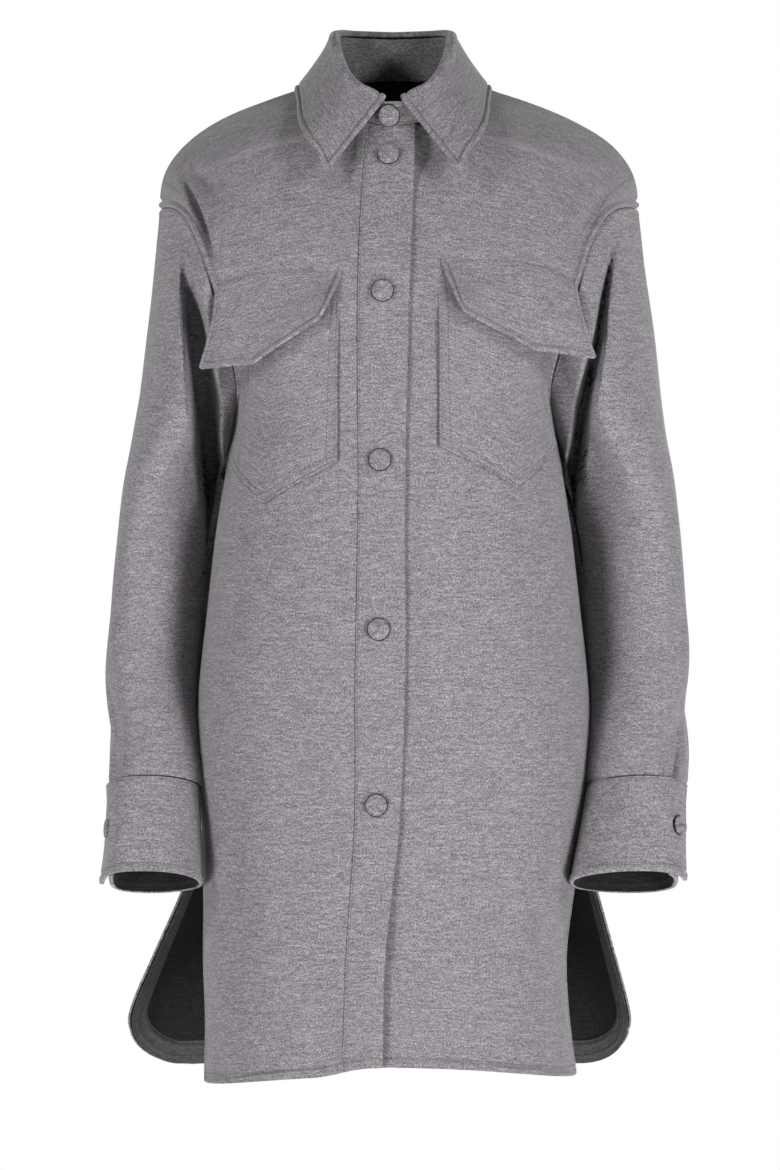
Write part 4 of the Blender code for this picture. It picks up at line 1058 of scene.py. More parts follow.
def body_placket():
    """Fine grid of the placket, the same way."""
    runs = fine_runs(HEM_CORNER)
    runs = runs[runs <= RUN_NECK - EDGE]
    seam, free = placket_lines(runs)
    wide = free - seam
    closed = 0.0001 + 0.0008 * ease((0.035 - runs) / 0.03)
    places = stations(wide - 2 * EDGE + closed, ladder((0.0011, 0.0055)), ladder((0.0013, 0.004)), 12)
    places = places + EDGE - closed[:, None]
    x = seam[:, None] + places
    run = np.broadcast_to(runs[:, None], x.shape)
    points = panel(True, run, across_of(run, x))
    neck_runs = np.linspace(RUN_NECK, 0.92, 41)
    neck = panel(True, neck_runs, np.zeros_like(neck_runs))
    top = points_at(np.abs(x[-1]), neck[:, 0], neck)
    top[:, 0] = x[-1]
    points = points + (top - points[-1]) * ease((run - RUN_NECK + 0.05) / 0.05)[..., None]
    points[..., 2] -= hem_drop(points)
    up = column_lengths(points).T + EDGE
    relief = sewn(places, PLACKET_STITCH, 0.0003, 0.0007) + sewn(up, HEM_STITCH, SEAM_PUFF, HEM_GROOVE)
    free_lift = PLACKET_LIFT * bump((run - 0.10) / 0.17) + PLACKET_WAVE * (1.0 + np.sin(run * 61.0))
    relief = relief + free_lift * ease(places / wide[:, None])
    return points, np.dstack([x, run]), relief


# Sleeves and cuffs
def valley_turn(side, angle, z, share):
    """How far a sleeve's points turn round it so that its columns run along the valley."""
    first, last = SLEEVE_VALLEYS[side][0][0], SLEEVE_VALLEYS[side][-1][0]

    def place_of(z):
        outer = np.abs(sleeve_tube(side, np.full_like(z, math.pi / 2), z)[..., 0])
        inner = np.abs(sleeve_tube(side, np.full_like(z, -math.pi / 2), z)[..., 0])
        valley = curve_down(SLEEVE_VALLEYS[side], z)[..., 0]
        across = (valley - 0.5 * (outer + inner)) / (0.5 * (outer - inner))
        return np.arcsin(np.clip(across, -0.97, 0.97))

    middle = float(place_of(np.array([-0.30]))[0])
    fade = ease((first - z) / 0.04) * ease((z - last) / 0.04) * ease((share - 0.03) / 0.22)
    return (place_of(np.clip(z, last, first)) - middle) * fade * bump((angle - middle) / 1.2)


def sleeve_points(side, ring, angle, end, share):
    """Points of a sleeve at shares of the way from its armhole to its cuff."""
    z = ring[:, 2] + (end[:, 2] - ring[:, 2]) * share
    start_shift = ring - sleeve_tube(side, angle, ring[:, 2])
    end_shift = end - sleeve_tube(side, angle, end[:, 2])
    points = sleeve_tube(side, angle + valley_turn(side, angle, z, share), z)
    points = points + start_shift * (1.0 - ease(share / ARMHOLE_REACH))[..., None]
    return points + end_shift * ease((share - 0.7) / 0.3)[..., None]


def body_sleeve(side):
    """Fine grid of a sleeve, round it from its lower seam, the same way."""
    runs = RUNS_ABOVE[RUNS_ABOVE >= RUN_ARM - 1e-9].copy()
    runs[-1] = RUN_TIP
    front = panel(True, runs, np.full_like(runs, side))
    back = panel(False, runs, np.full_like(runs, side))
    ring = np.concatenate([front, back[::-1][1:]])
    angle = np.concatenate([-0.5 + length_shares(front), 1.5 - length_shares(back)[::-1][1:]]) * math.pi
    top, along, forward = cuff_frame(side)
    half_width = row_of(CUFFS, side)[2]
    end = (top - along * 2 * SEAM_GAP
           + np.outer(rounded(np.sin(angle), SLEEVE_SQUARE), [side * (half_width + SLEEVE_BLOUSE), 0, 0])
           + np.outer(rounded(np.cos(angle), SLEEVE_SQUARE), forward * (CUFF_HALF_DEPTH + SLEEVE_BLOUSE)))
    even = np.linspace(0.0, 1.0, 120)
    coarse = sleeve_points(side, ring, angle, end, np.broadcast_to(even[:, None], (120, len(angle))))
    arcs = column_lengths(coarse)
    head, tail = ladder((0.0012, 0.012), (0.002, 0.030)), ladder((0.0012, 0.016))
    places = EDGE + stations(arcs[:, -1] - 2 * EDGE, head, tail, 92)
    share = np.array([np.interp(place, arc, even) for place, arc in zip(places, arcs)]).T
    places = places.T
    points = sleeve_points(side, ring, angle, end, share)
    wide, half, deep = np.moveaxis(curve_down(SLEEVE_VALLEYS[side], points[..., 2]), -1, 0)
    top_z, low_z = SLEEVE_VALLEYS[side][0][0], SLEEVE_VALLEYS[side][-1][0]
    inside = (points[..., 2] > low_z) & (points[..., 2] < top_z)
    turned = angle + valley_turn(side, angle, points[..., 2], share)
    facing = ease((np.cos(turned) + 0.05) / 0.2) * (np.abs(turned) < math.pi / 2 + 0.1)
    apart = np.abs(points[..., 0]) - wide
    hollow = (ease((1.25 * half - apart) / np.maximum(0.65 * half, 0.0065))
              * ease((1.55 * half + apart) / np.maximum(0.95 * half, 0.0085)) * inside * facing)
    behind = sleeve_tube(side, math.pi - turned, points[..., 2])[..., 1]
    room = np.maximum(behind - points[..., 1] - SLEEVE_ROOM, 0.0)
    points[..., 1] += np.minimum(np.maximum(deep, 0.0), room) * hollow * ease(places / 0.012)
    points[:, -1] = points[:, 0]
    left = arcs[:, -1] - places
    u, v = turned * SLEEVE_ROUND, points[..., 2]
    creases = [(width, depth, [(math.radians(a) * SLEEVE_ROUND, z) for a, z in line])
               for width, depth, line in SLEEVE_CREASES[side]]
    seam = ease(np.minimum(angle + math.pi / 2, 1.5 * math.pi - angle) / 0.4)
    waves = ripple(u, v, 15 + side) + crease_relief(u, v, creases)
    relief = waves * seam * ease(places / 0.02) * ease(left / 0.012) * (1.0 - ease(3.0 * hollow))
    relief = relief + 0.0004 * np.sin(math.pi * np.clip(places / 0.008, 0.0, 1.0))
    relief = relief - seam_dip(places)
    inner = np.minimum(np.abs(angle + math.pi / 2), np.abs(angle - 1.5 * math.pi))
    # Swells: along the lower seam, beside it half way down, and above the cuff
    relief = relief + 0.0045 * bump(inner) * bump((v + 0.55) / 0.17)
    relief = relief + 0.0120 * bump((angle - 1.36 * math.pi) / 0.75) * bump((v + 0.37) / 0.12)
    relief = relief + 0.0065 * near_angle(angle, 1.36, 0.95) * ease((-0.585 - v) / 0.03)
    relief = relief + sleeve_pleats(side, angle, np.abs(points[..., 0]), v)
    tuck = 1.0 - np.sqrt(1.0 - np.clip(1.0 - left / 0.010, 0.0, 1.0)**2)
    relief = relief - (SLEEVE_BLOUSE - 0.0012) * tuck
    return points, np.dstack([u, v]), relief


def near_angle(angles, half_turns, reach):
    """One at an angle given in half turns, falling to nothing at a reach from it."""
    return bump((np.mod(angles - half_turns * math.pi + math.pi, 2 * math.pi) - math.pi) / reach)


def sleeve_pleats(side, angle, x, z):
    """Relief of the pleat and the slit above a cuff."""
    front = ease(np.cos(angle) / 0.1)
    if side < 0:
        start, end = PLEAT_EDGES
        pleat = ease((x - start) / 0.002) * (1.0 - ease((x - end) / 0.0035))
        return -PLEAT_DEPTH * pleat * front * ease((-0.545 - z) / 0.05)
    slit = np.exp(-((x - SLIT_X - (z - SLIT_Z) * SLIT_LEAN) / SLIT_WIDTH)**2) * ease((-0.575 - z) / 0.02)
    step = ease((x - STEP_X) / 0.002) * ease((-0.54 - z) / 0.05)
    swell = 0.0065 * bump((angle - 1.45) / 0.9) * bump((z + 0.605) / 0.07)
    return swell - (SLIT_DEPTH * slit + STEP_DEPTH * step) * front


def cuff_strip(side):
    """Fine grid of a cuff, wound round from its lower to its upper end, the same way."""
    _, top_x, top_half, bottom_x, bottom_half = row_of(CUFFS, side)
    top, along, forward = cuff_frame(side)
    round_length = 2 * math.pi * CUFF_ROUND
    around = EDGE + stations(round_length - 2 * EDGE, ladder((0.0012, 0.012)), ladder((0.0012, 0.012)), 120)
    wound = around / round_length
    down = EDGE + stations(CUFF_LENGTH - 2 * EDGE, ladder((0.0011, 0.0055)), ladder((0.0012, 0.0125)), 16)
    angles = CUFF_END_ANGLE + CUFF_END_SHIFT[side] + (wound - 1.0) * (2 * math.pi + CUFF_LAP)
    rise = (CUFF_WALL + 2 * SEAM_GAP) * ease((wound - 0.60) / 0.25)
    rows = []
    for share in down / CUFF_LENGTH:
        half = top_half + (bottom_half - top_half) * share
        middle = top + along * CUFF_LENGTH * share + np.array([side * (bottom_x - top_x) * share, 0.0, 0.0])
        depth = CUFF_HALF_DEPTH * (1.0 + 0.10 * share)
        rows.append(middle
                    + np.outer(rounded(np.sin(angles), SLEEVE_SQUARE) * (half + rise), [side, 0, 0])
                    + np.outer(rounded(np.cos(angles), SLEEVE_SQUARE) * (depth + rise), forward))
    points = np.array(rows)
    down, around = down[:, None] + 0.0 * points[..., 0], around[None] + 0.0 * points[..., 0]
    behind, before, outer, lower = CUFF_SHIFTS[side]
    narrow = outer * ease((down + 0.010) / 0.03) + lower * ease((down - 0.02) / 0.05)
    inward = behind * near_angle(angles, 1.36, 0.95) + before * near_angle(angles, 1.62, 0.8)
    inward = inward * ease((down + 0.006) / 0.008)
    points[..., 0] -= side * (inward + narrow * near_angle(angles, 0.5, 1.1))
    free = ease((wound - 0.13) / 0.05)
    relief = sewn(CUFF_LENGTH - down, CUFF_STITCH) + sewn(down, NEAR_STITCH, 0.0005, 0.0006)
    relief = relief + sewn(round_length - around, CUFF_STITCH, 0.0005, 0.0006)
    relief = relief + 0.7 * ripple(around, down, 21 + side)
    relief = relief * free
    relief = relief + CUFF_STAND_OFF[side] * ease((wound - 0.90) / 0.10) * ease((down - 0.02) / 0.06)
    return points, np.dstack([around, down]), relief


def cuff_stitch(strip, row_distance):
    """Line round a cuff at a distance from its bottom edge."""
    points, places, _ = strip
    return points[nearest(places[:, 0, 1], CUFF_LENGTH - row_distance), CUFF_COVERED:]


# Collar
def fine_neckline(share):
    """Half of the neckline, from the front (0) to the back (1)."""
    runs = np.linspace(RUN_NECK, RUN_TIP, 61)
    front = panel(True, runs, np.zeros_like(runs))
    back = panel(False, runs, np.zeros_like(runs))
    points = np.concatenate([front, back[::-1][1:]])
    keys = np.linspace(0.0, 1.0, len(points))
    return points_at(share, keys, points)


def collar_stand():
    """Fine grid of the stand, from its upper end round to its lower one."""
    start = -1.0 - STAND_LAP_OVER
    place = np.concatenate([[start + 0.004], np.linspace(start + 0.012, -1.0, 14)[:-1],
                            np.linspace(-1.0, 1.0, 130), np.linspace(1.0, 1.0 + STAND_LAP_UNDER, 9)[1:]])
    bottom = mirrored(fine_neckline, place)
    top = mirrored(fold_line, place)
    past = np.clip((np.abs(place) - 1.0) / STAND_LAP_OVER, 0.0, 1.0)
    top[:, 2] -= STAND_END_DROP * past**2
    out = outward_of(0.5 * (bottom + top))
    shift = out * (STAND_EASE * ease((-place - 0.85) / 0.15) - STACK_STEP * ease((place - 0.68) / 0.15))[:, None]
    bottom = bottom + [0.0, 0.0, 2 * SEAM_GAP - STAND_SINK] + shift
    top = top + [0.0, 0.0, -LEAF_SINK] + shift
    high = np.linalg.norm(top - bottom, axis=1)
    up = EDGE + stations(high - 2 * EDGE, ladder((0.0012, 0.004)), ladder((0.0012, 0.003)), 12)
    share = (up / high[:, None]).T
    points = bottom + (top - bottom) * share[..., None]
    around = NECK_HALF * np.broadcast_to(place, share.shape)
    relief = sewn(up.T, NEAR_STITCH, 0.0002, 0.0005)
    return points, np.dstack([around, up.T]), relief


def leaf_points(place, f):
    """Points of the turned-down leaf, f from 0 at the fold to 1 at the outer edge, and its outward ways."""
    shape = np.broadcast(place, f).shape
    fold = mirrored(fold_line, place.ravel()).reshape(shape + (3,))
    edge = mirrored(leaf_edge, place.ravel()).reshape(shape + (3,))
    fold[..., 2] -= LEAF_SINK
    edge[..., 2] -= LEAF_HANG + LEAF_TIP_DROP * ease((np.abs(place) - 0.70) / 0.30)
    line = np.linspace(-1.0, 1.0, 401)
    ways = outward_of(mirrored(fold_line, line))
    out = points_at(place, line, ways)
    flare = 1.0 + LEAF_FLARE * ease((1.0 - np.abs(place)) / 0.4)
    spread = np.stack([f**flare, f**flare, f], axis=-1)
    lift = 3 * SEAM_GAP * (1.0 - f)[..., None] * np.array([0.0, 0.0, 1.0])
    off = 3 * SEAM_GAP + LEAF_OFF * ease((np.abs(place) - 0.50) / 0.35) * f**1.5
    return fold + lift + out * off[..., None] + (edge - fold) * spread, out


def collar_leaf():
    """Fine grid of the leaf, with the roll over its fold."""
    drop, half, corner = LEAF_DROP, LEAF_HALF, LEAF_CORNER
    down = stations(drop - EDGE, ladder((0.0015, 0.006)), ladder((0.0011, 0.0095)), 30)
    f = down / drop
    near = np.clip((corner - (drop - down)) / (corner - EDGE), 0.0, 1.0)
    inset = np.where(drop - down >= corner, EDGE, corner - (corner - EDGE) * np.sqrt(1.0 - near**2))
    across = stations(2 * half - 2 * inset, ladder((0.0012, 0.0095)), ladder((0.0012, 0.0095)), 130)
    across = across + inset[:, None]
    place = across / half - 1.0
    points, _ = leaf_points(place, f[:, None] + 0.0 * place)
    radius = 0.5 * (WALL + 3 * SEAM_GAP)
    turns = np.linspace(0.0, math.pi, 9)[:-1]
    rise = radius * ease((1.02 - np.abs(place[0])) / 0.10)[:, None] * np.array([0.0, 0.0, 1.0])
    roll = []
    for turn in turns:
        held_back = 1.0 - 0.0125 * (1.0 + math.cos(turn))
        top, out = leaf_points(held_back * place[:1], 0.0 * place[:1])
        roll.append(top[0] - out[0] * radius * (1.0 + math.cos(turn)) + rise * math.sin(turn))
    points = np.concatenate([np.array(roll), points])
    rows = np.concatenate([-radius * (math.pi - turns), down])[:, None]
    across = np.concatenate([np.repeat(across[:1], len(turns), axis=0), across])
    inside = np.minimum(np.minimum(across, 2 * half - across), drop - rows)
    relief = sewn(inside, LEAF_STITCH, 0.0008, 0.0014) + 0.6 * ripple(across, rows, 31) * ease(rows / 0.02)
    return points, np.dstack([across, rows + 0.0 * across]), relief


def leaf_stitch():
    """Stitch line inside the leaf's ends and outer edge."""
    low = 1.0 - LEAF_STITCH / LEAF_DROP
    side = 1.0 - LEAF_STITCH / LEAF_HALF
    place = np.concatenate([np.full(30, -side), np.linspace(-side, side, 200)[1:-1], np.full(30, side)])
    f = np.concatenate([np.linspace(0.1, low, 30), np.full(198, low), np.linspace(low, 0.1, 30)])
    return leaf_points(place, f)[0]


# Pieces on the fronts
def patch_points(inner_x, outer, side, wide, z, height):
    """Points over a front at shares of the way across a patch."""
    run = np.full_like(z, 0.6)
    for _ in range(8):
        inner = np.abs(across_of(run, inner_x))
        across = side * (inner + (outer - inner) * wide)
        run = run_at(across, z)
    return lifted(True, run, across, height)


def pocket_at(row, wide, down):
    """Points of a pocket at shares of its width and height."""
    side, inner_x, top, outer_top, corner, point, outer = row
    start = sloped_top(wide, top, outer_top)
    bottom = corner + (point - corner) * (1.0 - np.abs(2.0 * wide - 1.0))
    height = PATCH_GAP - (PATCH_GAP + PATCH_WALL - POCKET_SEWN) * (1.0 - ease(down / 0.3))
    return patch_points(inner_x, outer, side, wide, start + (bottom - start) * down, height)


def flap_at(row, wide, down):
    """Points of a flap, the same way."""
    side, inner_x, top, outer_top, corner, point, tip, outer, stand_off = row
    start = sloped_top(wide, top, outer_top)
    half = np.minimum(2.0 * wide, 1.0)
    bottom = np.where(wide < 0.5, corner + (point - corner) * half,
                      point + (tip - point) * (2.0 * wide - 1.0))
    turn = np.clip(1.0 - wide / FLAP_ROUND, 0.0, 1.0)
    end = np.clip(1.0 - (1.0 - wide) / (0.5 * FLAP_ROUND), 0.0, 1.0)
    bottom = (bottom + FLAP_ROUND_RISE * (1.0 - np.sqrt(1.0 - turn**2))
              + FLAP_END_RISE * (1.0 - np.sqrt(1.0 - end**2)))
    sewn_down = FLAP_SEWN - FLAP_WALL
    height = sewn_down + (PATCH_GAP + FLAP_LIFT - sewn_down) * ease(down / 0.75) + FLAP_CURL * down**2
    slant = FLAP_SLANT * down**1.3
    z = start + (bottom - start) * down
    points = patch_points(inner_x, outer, side, slant + (1.0 - slant) * wide, z, height)
    swing = np.array(FLAP_SWING) * [side, 1.0, 1.0]
    return points + (stand_off * wide**2.2 * down)[..., None] * swing


def patch_sizes(place, row):
    """Even shares of a patch's width, its mean width, and its heights at those shares."""
    even = np.linspace(0.0, 1.0, 21)
    rough = place(row, *np.meshgrid(even, even))
    return even, float(np.mean(arc_lengths(rough)[:, -1])), column_lengths(rough)[:, -1]


def patch_layer(place, row, count):
    """Fine grid of a pocket or flap, with its distances from the sides and bottom, and from the top."""
    _, width, heights = patch_sizes(place, row)
    height = float(np.max(heights))
    across = EDGE + stations(width - 2 * EDGE, ladder((0.0012, 0.0115)), ladder((0.0012, 0.0115)), count)
    drop = EDGE + stations(height - 2 * EDGE, ladder((0.0012, 0.005)), ladder((0.0012, 0.0115)), count)
    wide, down = np.meshgrid(across / width, drop / height)
    points = place(row, wide, down)
    lengths = column_lengths(points).T
    below = lengths[-1] - lengths + EDGE
    sides = np.minimum(wide, 1.0 - wide) * width
    apart = np.minimum(sides, below * PATCH_SLOPE)
    return points, np.dstack([row[0] * wide * width, -down * height]), apart, lengths + EDGE


def pocket_layer(row):
    """Fine grid of a pocket: points, flat places and relief."""
    points, places, apart, above = patch_layer(pocket_at, row, 34)
    relief = front_waves(row[0], points[..., 0], points[..., 2])
    relief = relief + sewn(apart, NEAR_STITCH, 0.0004, 0.0007) - 0.0006 * np.exp(
        -((apart - POCKET_STITCH) / GROOVE_WIDTH)**2)
    bulge = ease(apart / 0.035) * ease(above / 0.05)
    return points, places, relief + POCKET_BULGE * bulge


def flap_layer(row):
    """Fine grid of a flap, the same way."""
    points, places, apart, above = patch_layer(flap_at, row, 30)
    relief = front_waves(row[0], points[..., 0], points[..., 2]) * 0.7
    inner = np.abs(places[..., 0])
    relief = relief + sewn(apart, FLAP_STITCH, 0.0006, 0.0004) + sewn(above, NEAR_STITCH, 0.0001, 0.0004)
    relief = relief + sewn(inner, FLAP_STITCH, 0.0004, 0.0008)
    return points, places, relief


def patch_stitch(place, row, inset, top=False):
    """Stitch line inside a patch's inner edge, bottom and outer edge, or under its top edge."""
    even, width, heights = patch_sizes(place, row)
    side = inset / width
    line = np.linspace(side, 1.0 - side, 60)
    tall = np.interp(line, even, heights)
    if top:
        wide, down = line, inset / tall
    else:
        low = 1.0 - inset / PATCH_SLOPE / tall
        wide = np.concatenate([np.full(30, side), line[1:-1], np.full(30, 1.0 - side)])
        down = np.concatenate([np.linspace(0.03, low[0], 30), low[1:-1], np.linspace(low[-1], 0.03, 30)])
    return place(row, wide, down)


def hem_facing():
    """Strip along the inside of the back tail's vents, corners and hem."""
    turns = np.linspace(0.0, math.pi / 2, 40)
    heights = np.linspace(RUN_VENT - 0.006, TAIL_CORNER, 46)[:-1]
    insets = SEAM_GAP * 3 + EDGE + stations(FACING_WIDTH - SEAM_GAP * 3 - 2 * EDGE, ladder((0.0014, 0.006)),
                                            ladder((0.0012, 0.006)), 6)
    lines = []
    for inset in insets:
        high, wide = TAIL_CORNER - inset, TAIL_CORNER_WIDE - inset
        places = [(inset, height) for height in heights]
        places += [(TAIL_CORNER_WIDE - wide * math.cos(t), TAIL_CORNER - high * math.sin(t)) for t in turns]
        runs = np.array([place[1] for place in places])
        asides = np.array([place[0] for place in places])
        halves = []
        for side in (+1, -1):
            lengths = np.array([row_length(False, run, side) for run in runs])
            wider = 1.0 + FACING_WIDER[side] * np.concatenate([np.ones(len(heights)), np.cos(turns)])
            halves.append(side * (1.0 - asides * wider / lengths))
        hem_run = runs[-1]
        hem = np.linspace(halves[0][-1], halves[1][-1], 110)[1:-1]
        across = np.concatenate([halves[0], hem, halves[1][::-1]])
        run = np.concatenate([runs, np.full_like(hem, hem_run), runs[::-1]])
        lines.append(lifted(False, run, across, np.full_like(run, -(WALL + FACING_LAY))))
    points = np.array(lines)
    u = arc_lengths(points)
    v = insets[:, None] + 0.0 * u
    fold = v - SEAM_GAP * 3
    relief = sewn(FACING_WIDTH - v, 0.0045, 0.0016, 0.0012)
    relief = relief + sewn(fold, TAIL_STITCH - SEAM_GAP * 3, 0.0005, 0.0011)
    return points, np.dstack([u, v]), relief


def add_button(name, centre, normal, radius):
    """Covered button: a flat dome with a rounded rim on its own gap, its lowest bands painted dark as the shadow
    round it.
    """
    axis = Vector(normal).normalized()
    side = Vector((0.0, 0.0, 1.0)).cross(axis).normalized()
    front = axis.cross(side)
    rings, places = [], []
    turns = np.arange(BUTTON_STEPS + 1) * 2 * math.pi / BUTTON_STEPS
    for share, height in BUTTON_PROFILE:
        ring = [Vector(centre) + (side * math.cos(t) + front * math.sin(t)) * radius * share
                + axis * BUTTON_HEIGHT * height for t in turns]
        rings.append([tuple(point) for point in ring])
        places.append([(math.cos(t) * radius * share, math.sin(t) * radius * share, 40.0 + sum(centre) * 100)
                       for t in turns])
    rings, places = np.array(rings), np.array(places)
    rings[:, -1] = rings[:, 0]
    points, quads, _ = weld([rings], False)
    # painted shadow: the lowest bands take the dark copy of the wool
    finish = np.repeat((np.arange(len(BUTTON_PROFILE) - 1) < BUTTON_SHADE_BANDS).astype(int), BUTTON_STEPS)
    thing = new_mesh(name + "_cover", points, quads, finish, corner_values(places, False),
                     [BUTTON_WOOL, WOOL_PAINTED_SHADE])
    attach(thing, "root")
    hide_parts(name)


# Finishes
def new_noise(tree, cloth, scale, detail):
    """Noise on the flat cloth, stretched by a scale per metre."""
    stretch = tree.nodes.new("ShaderNodeVectorMath")
    stretch.operation = "MULTIPLY"
    stretch.inputs[1].default_value = scale
    tree.links.new(cloth, stretch.inputs[0])
    noise = tree.nodes.new("ShaderNodeTexNoise")
    noise.inputs["Scale"].default_value = 1.0
    noise.inputs["Detail"].default_value = detail
    tree.links.new(stretch.outputs[0], noise.inputs["Vector"])
    return noise.outputs["Fac"]


def weighted_sum(tree, parts, start=0.0):
    """A start plus each value times its weight."""
    total = None
    for value, weight in parts:
        node = tree.nodes.new("ShaderNodeMath")
        node.operation = "MULTIPLY_ADD"
        tree.links.new(value, node.inputs[0])
        node.inputs[1].default_value = weight
        if total is None:
            node.inputs[2].default_value = start
        else:
            tree.links.new(total, node.inputs[2])
        total = node.outputs[0]
    return total


def multiplied(tree, first, second):
    """Product of two colours."""
    node = tree.nodes.new("ShaderNodeMix")
    node.data_type = "RGBA"
    node.blend_type = "MULTIPLY"
    node.inputs[0].default_value = 1.0
    tree.links.new(first, node.inputs[6])
    tree.links.new(second, node.inputs[7])
    return node.outputs[2]


def new_material(name, values):
    """Material with values of its shader, its tree and its shader."""
    material = bpy.data.materials.new(name)
    material.use_nodes = True
    shader = material.node_tree.nodes["Principled BSDF"]
    for key, value in values.items():
        shader.inputs[key].default_value = value
    return material, material.node_tree, shader


def new_ramp(tree, value, stops):
    """Colour read from stops of a position and a colour."""
    ramp = tree.nodes.new("ShaderNodeValToRGB")
    while len(ramp.color_ramp.elements) < len(stops):
        ramp.color_ramp.elements.new(0.5)
    for element, (position, colour) in zip(ramp.color_ramp.elements, stops):
        element.position = position
        element.color = (*colour, 1.0)
    tree.links.new(value, ramp.inputs["Fac"])
    return ramp.outputs["Color"]


def wool_cloth(name, dark, middle, light, fuzz):
    """Milled melange wool: streaks of dark and pale fibre, specks and a soft nap."""
    material, tree, shader = new_material(name, {
        "Roughness": 0.95, "Specular IOR Level": 0.15, "Sheen Weight": fuzz, "Sheen Roughness": 0.45})
    attribute = tree.nodes.new("ShaderNodeAttribute")
    attribute.attribute_name = "cloth"
    cloth = attribute.outputs["Vector"]
    streak = new_noise(tree, cloth, (150.0, 460.0, 9.0), 2.0)
    speck = new_noise(tree, cloth, (600.0, 690.0, 9.0), 2.0)
    fibre = new_noise(tree, cloth, (1300.0, 1700.0, 9.0), 1.0)
    mottle = new_noise(tree, cloth, (48.0, 84.0, 9.0), 2.0)
    thread = new_noise(tree, cloth, (38.0, 300.0, 9.0), 2.0)
    tone = weighted_sum(tree, ((streak, 0.20), (speck, 0.40), (fibre, 0.24), (mottle, 0.06), (thread, 0.10)))
    colour = new_ramp(tree, tone, ((0.37, dark), (0.50, middle), (0.64, light)))
    tint = new_ramp(tree, mottle, ((0.35, (1.0, 0.992, 1.01)), (0.65, (1.01, 0.997, 0.99))))
    tree.links.new(multiplied(tree, colour, tint), shader.inputs["Base Color"])
    height = weighted_sum(tree, ((speck, 0.6), (streak, 0.25), (fibre, 0.3)))
    bumps = tree.nodes.new("ShaderNodeBump")
    bumps.inputs["Strength"].default_value = 0.5
    bumps.inputs["Distance"].default_value = 0.0007
    tree.links.new(height, bumps.inputs["Height"])
    tree.links.new(bumps.outputs["Normal"], shader.inputs["Normal"])
    return material


def thread_painted_shade_finish():
    """Twisted sewing thread, painted darker than the wool so that it carries the shade of its groove."""
    material, tree, shader = new_material("thread", {"Roughness": 0.65, "Sheen Weight": 0.2})
    place = tree.nodes.new("ShaderNodeTexCoord")
    tone = new_noise(tree, place.outputs["Object"], (420.0, 420.0, 420.0), 2.0)
    colour = new_ramp(tree, tone, ((0.35, (0.030, 0.029, 0.031)), (0.65, (0.075, 0.072, 0.076))))
    tree.links.new(colour, shader.inputs["Base Color"])
    return material


# Dark, middle and pale fibre, and how much the nap catches the light
WOOL = wool_cloth("wool_melange", (0.052, 0.049, 0.055), (0.160, 0.151, 0.164), (0.360, 0.348, 0.362), 0.30)
# Much darker copy of the wool for inner faces and button rims: painted shade for the shadowed inside
WOOL_PAINTED_SHADE = wool_cloth("wool_inside_painted_shade", (0.006, 0.0056, 0.006), (0.0135, 0.0128, 0.0135),
                         (0.034, 0.033, 0.034), 0.06)
BUTTON_WOOL = wool_cloth("button_wool", (0.052, 0.049, 0.055), (0.155, 0.147, 0.158), (0.340, 0.328, 0.342), 0.25)
FACING_CLOTH = wool_cloth("facing_cloth", (0.022, 0.0215, 0.0208), (0.056, 0.0545, 0.052),
                          (0.122, 0.119, 0.113), 0.15)
# sewing thread, its dark tone painted shade of the stitch groove
THREAD_PAINTED_SHADE = thread_painted_shade_finish()


# The coat
def add_body():
    """Fronts, sleeves, back and placket."""
    # inner faces take the dark copy of the wool, painted shade of the coat's inside
    faces = [WOOL, WOOL_PAINTED_SHADE]
    for side, label in SIDES:
        front = "front_" + label
        cloth_shell(front, [body_front(side)], -WALL, 0.0, side < 0, faces)
        lines = [panel_stitch(True, side, HEM_STITCH, RUN_VENT), armhole_stitch(True, side)]
        add_stitches(front, lines)
        sleeve = "sleeve_" + label
        cloth_shell(sleeve, [body_sleeve(side)], -WALL, 0.0, side > 0, faces)
    right, left = body_back(-1), body_back(+1)
    right = tuple(layer[:, ::-1] for layer in right)
    cloth_shell("back", [right, left], -WALL, 0.0, True, faces)
    lines = [panel_stitch(False, side, TAIL_STITCH, RUN_VENT) for side in (-1, +1)]
    lines += [armhole_stitch(False, side) for side in (-1, +1)]
    add_stitches("back", lines)
    placket = body_placket()
    cloth_shell("placket", [placket], -WALL, 0.0, False, faces)
    points, places, _ = placket
    column = nearest(places[0, :, 0], places[0, 0, 0] - EDGE + PLACKET_STITCH)
    row = nearest(places[:, 0, 1], HEM_STITCH)
    add_stitches("placket", [points[:, column], points[row]])


def add_patches():
    """Pockets and flaps."""
    for side, label in SIDES:
        pocket, flap, faces = row_of(POCKETS, side), row_of(FLAPS, side), [WOOL, WOOL]
        name = "pocket_" + label
        cloth_shell(name, [pocket_layer(pocket)], 0.0, PATCH_WALL, side > 0, faces)
        add_stitches(name, [patch_stitch(pocket_at, pocket, inset) for inset in (NEAR_STITCH, POCKET_STITCH)])
        name = "flap_" + label
        cloth_shell(name, [flap_layer(flap)], 0.0, FLAP_WALL, side > 0, faces)
        add_stitches(name, [patch_stitch(flap_at, flap, FLAP_STITCH),
                            patch_stitch(flap_at, flap, NEAR_STITCH, True)])


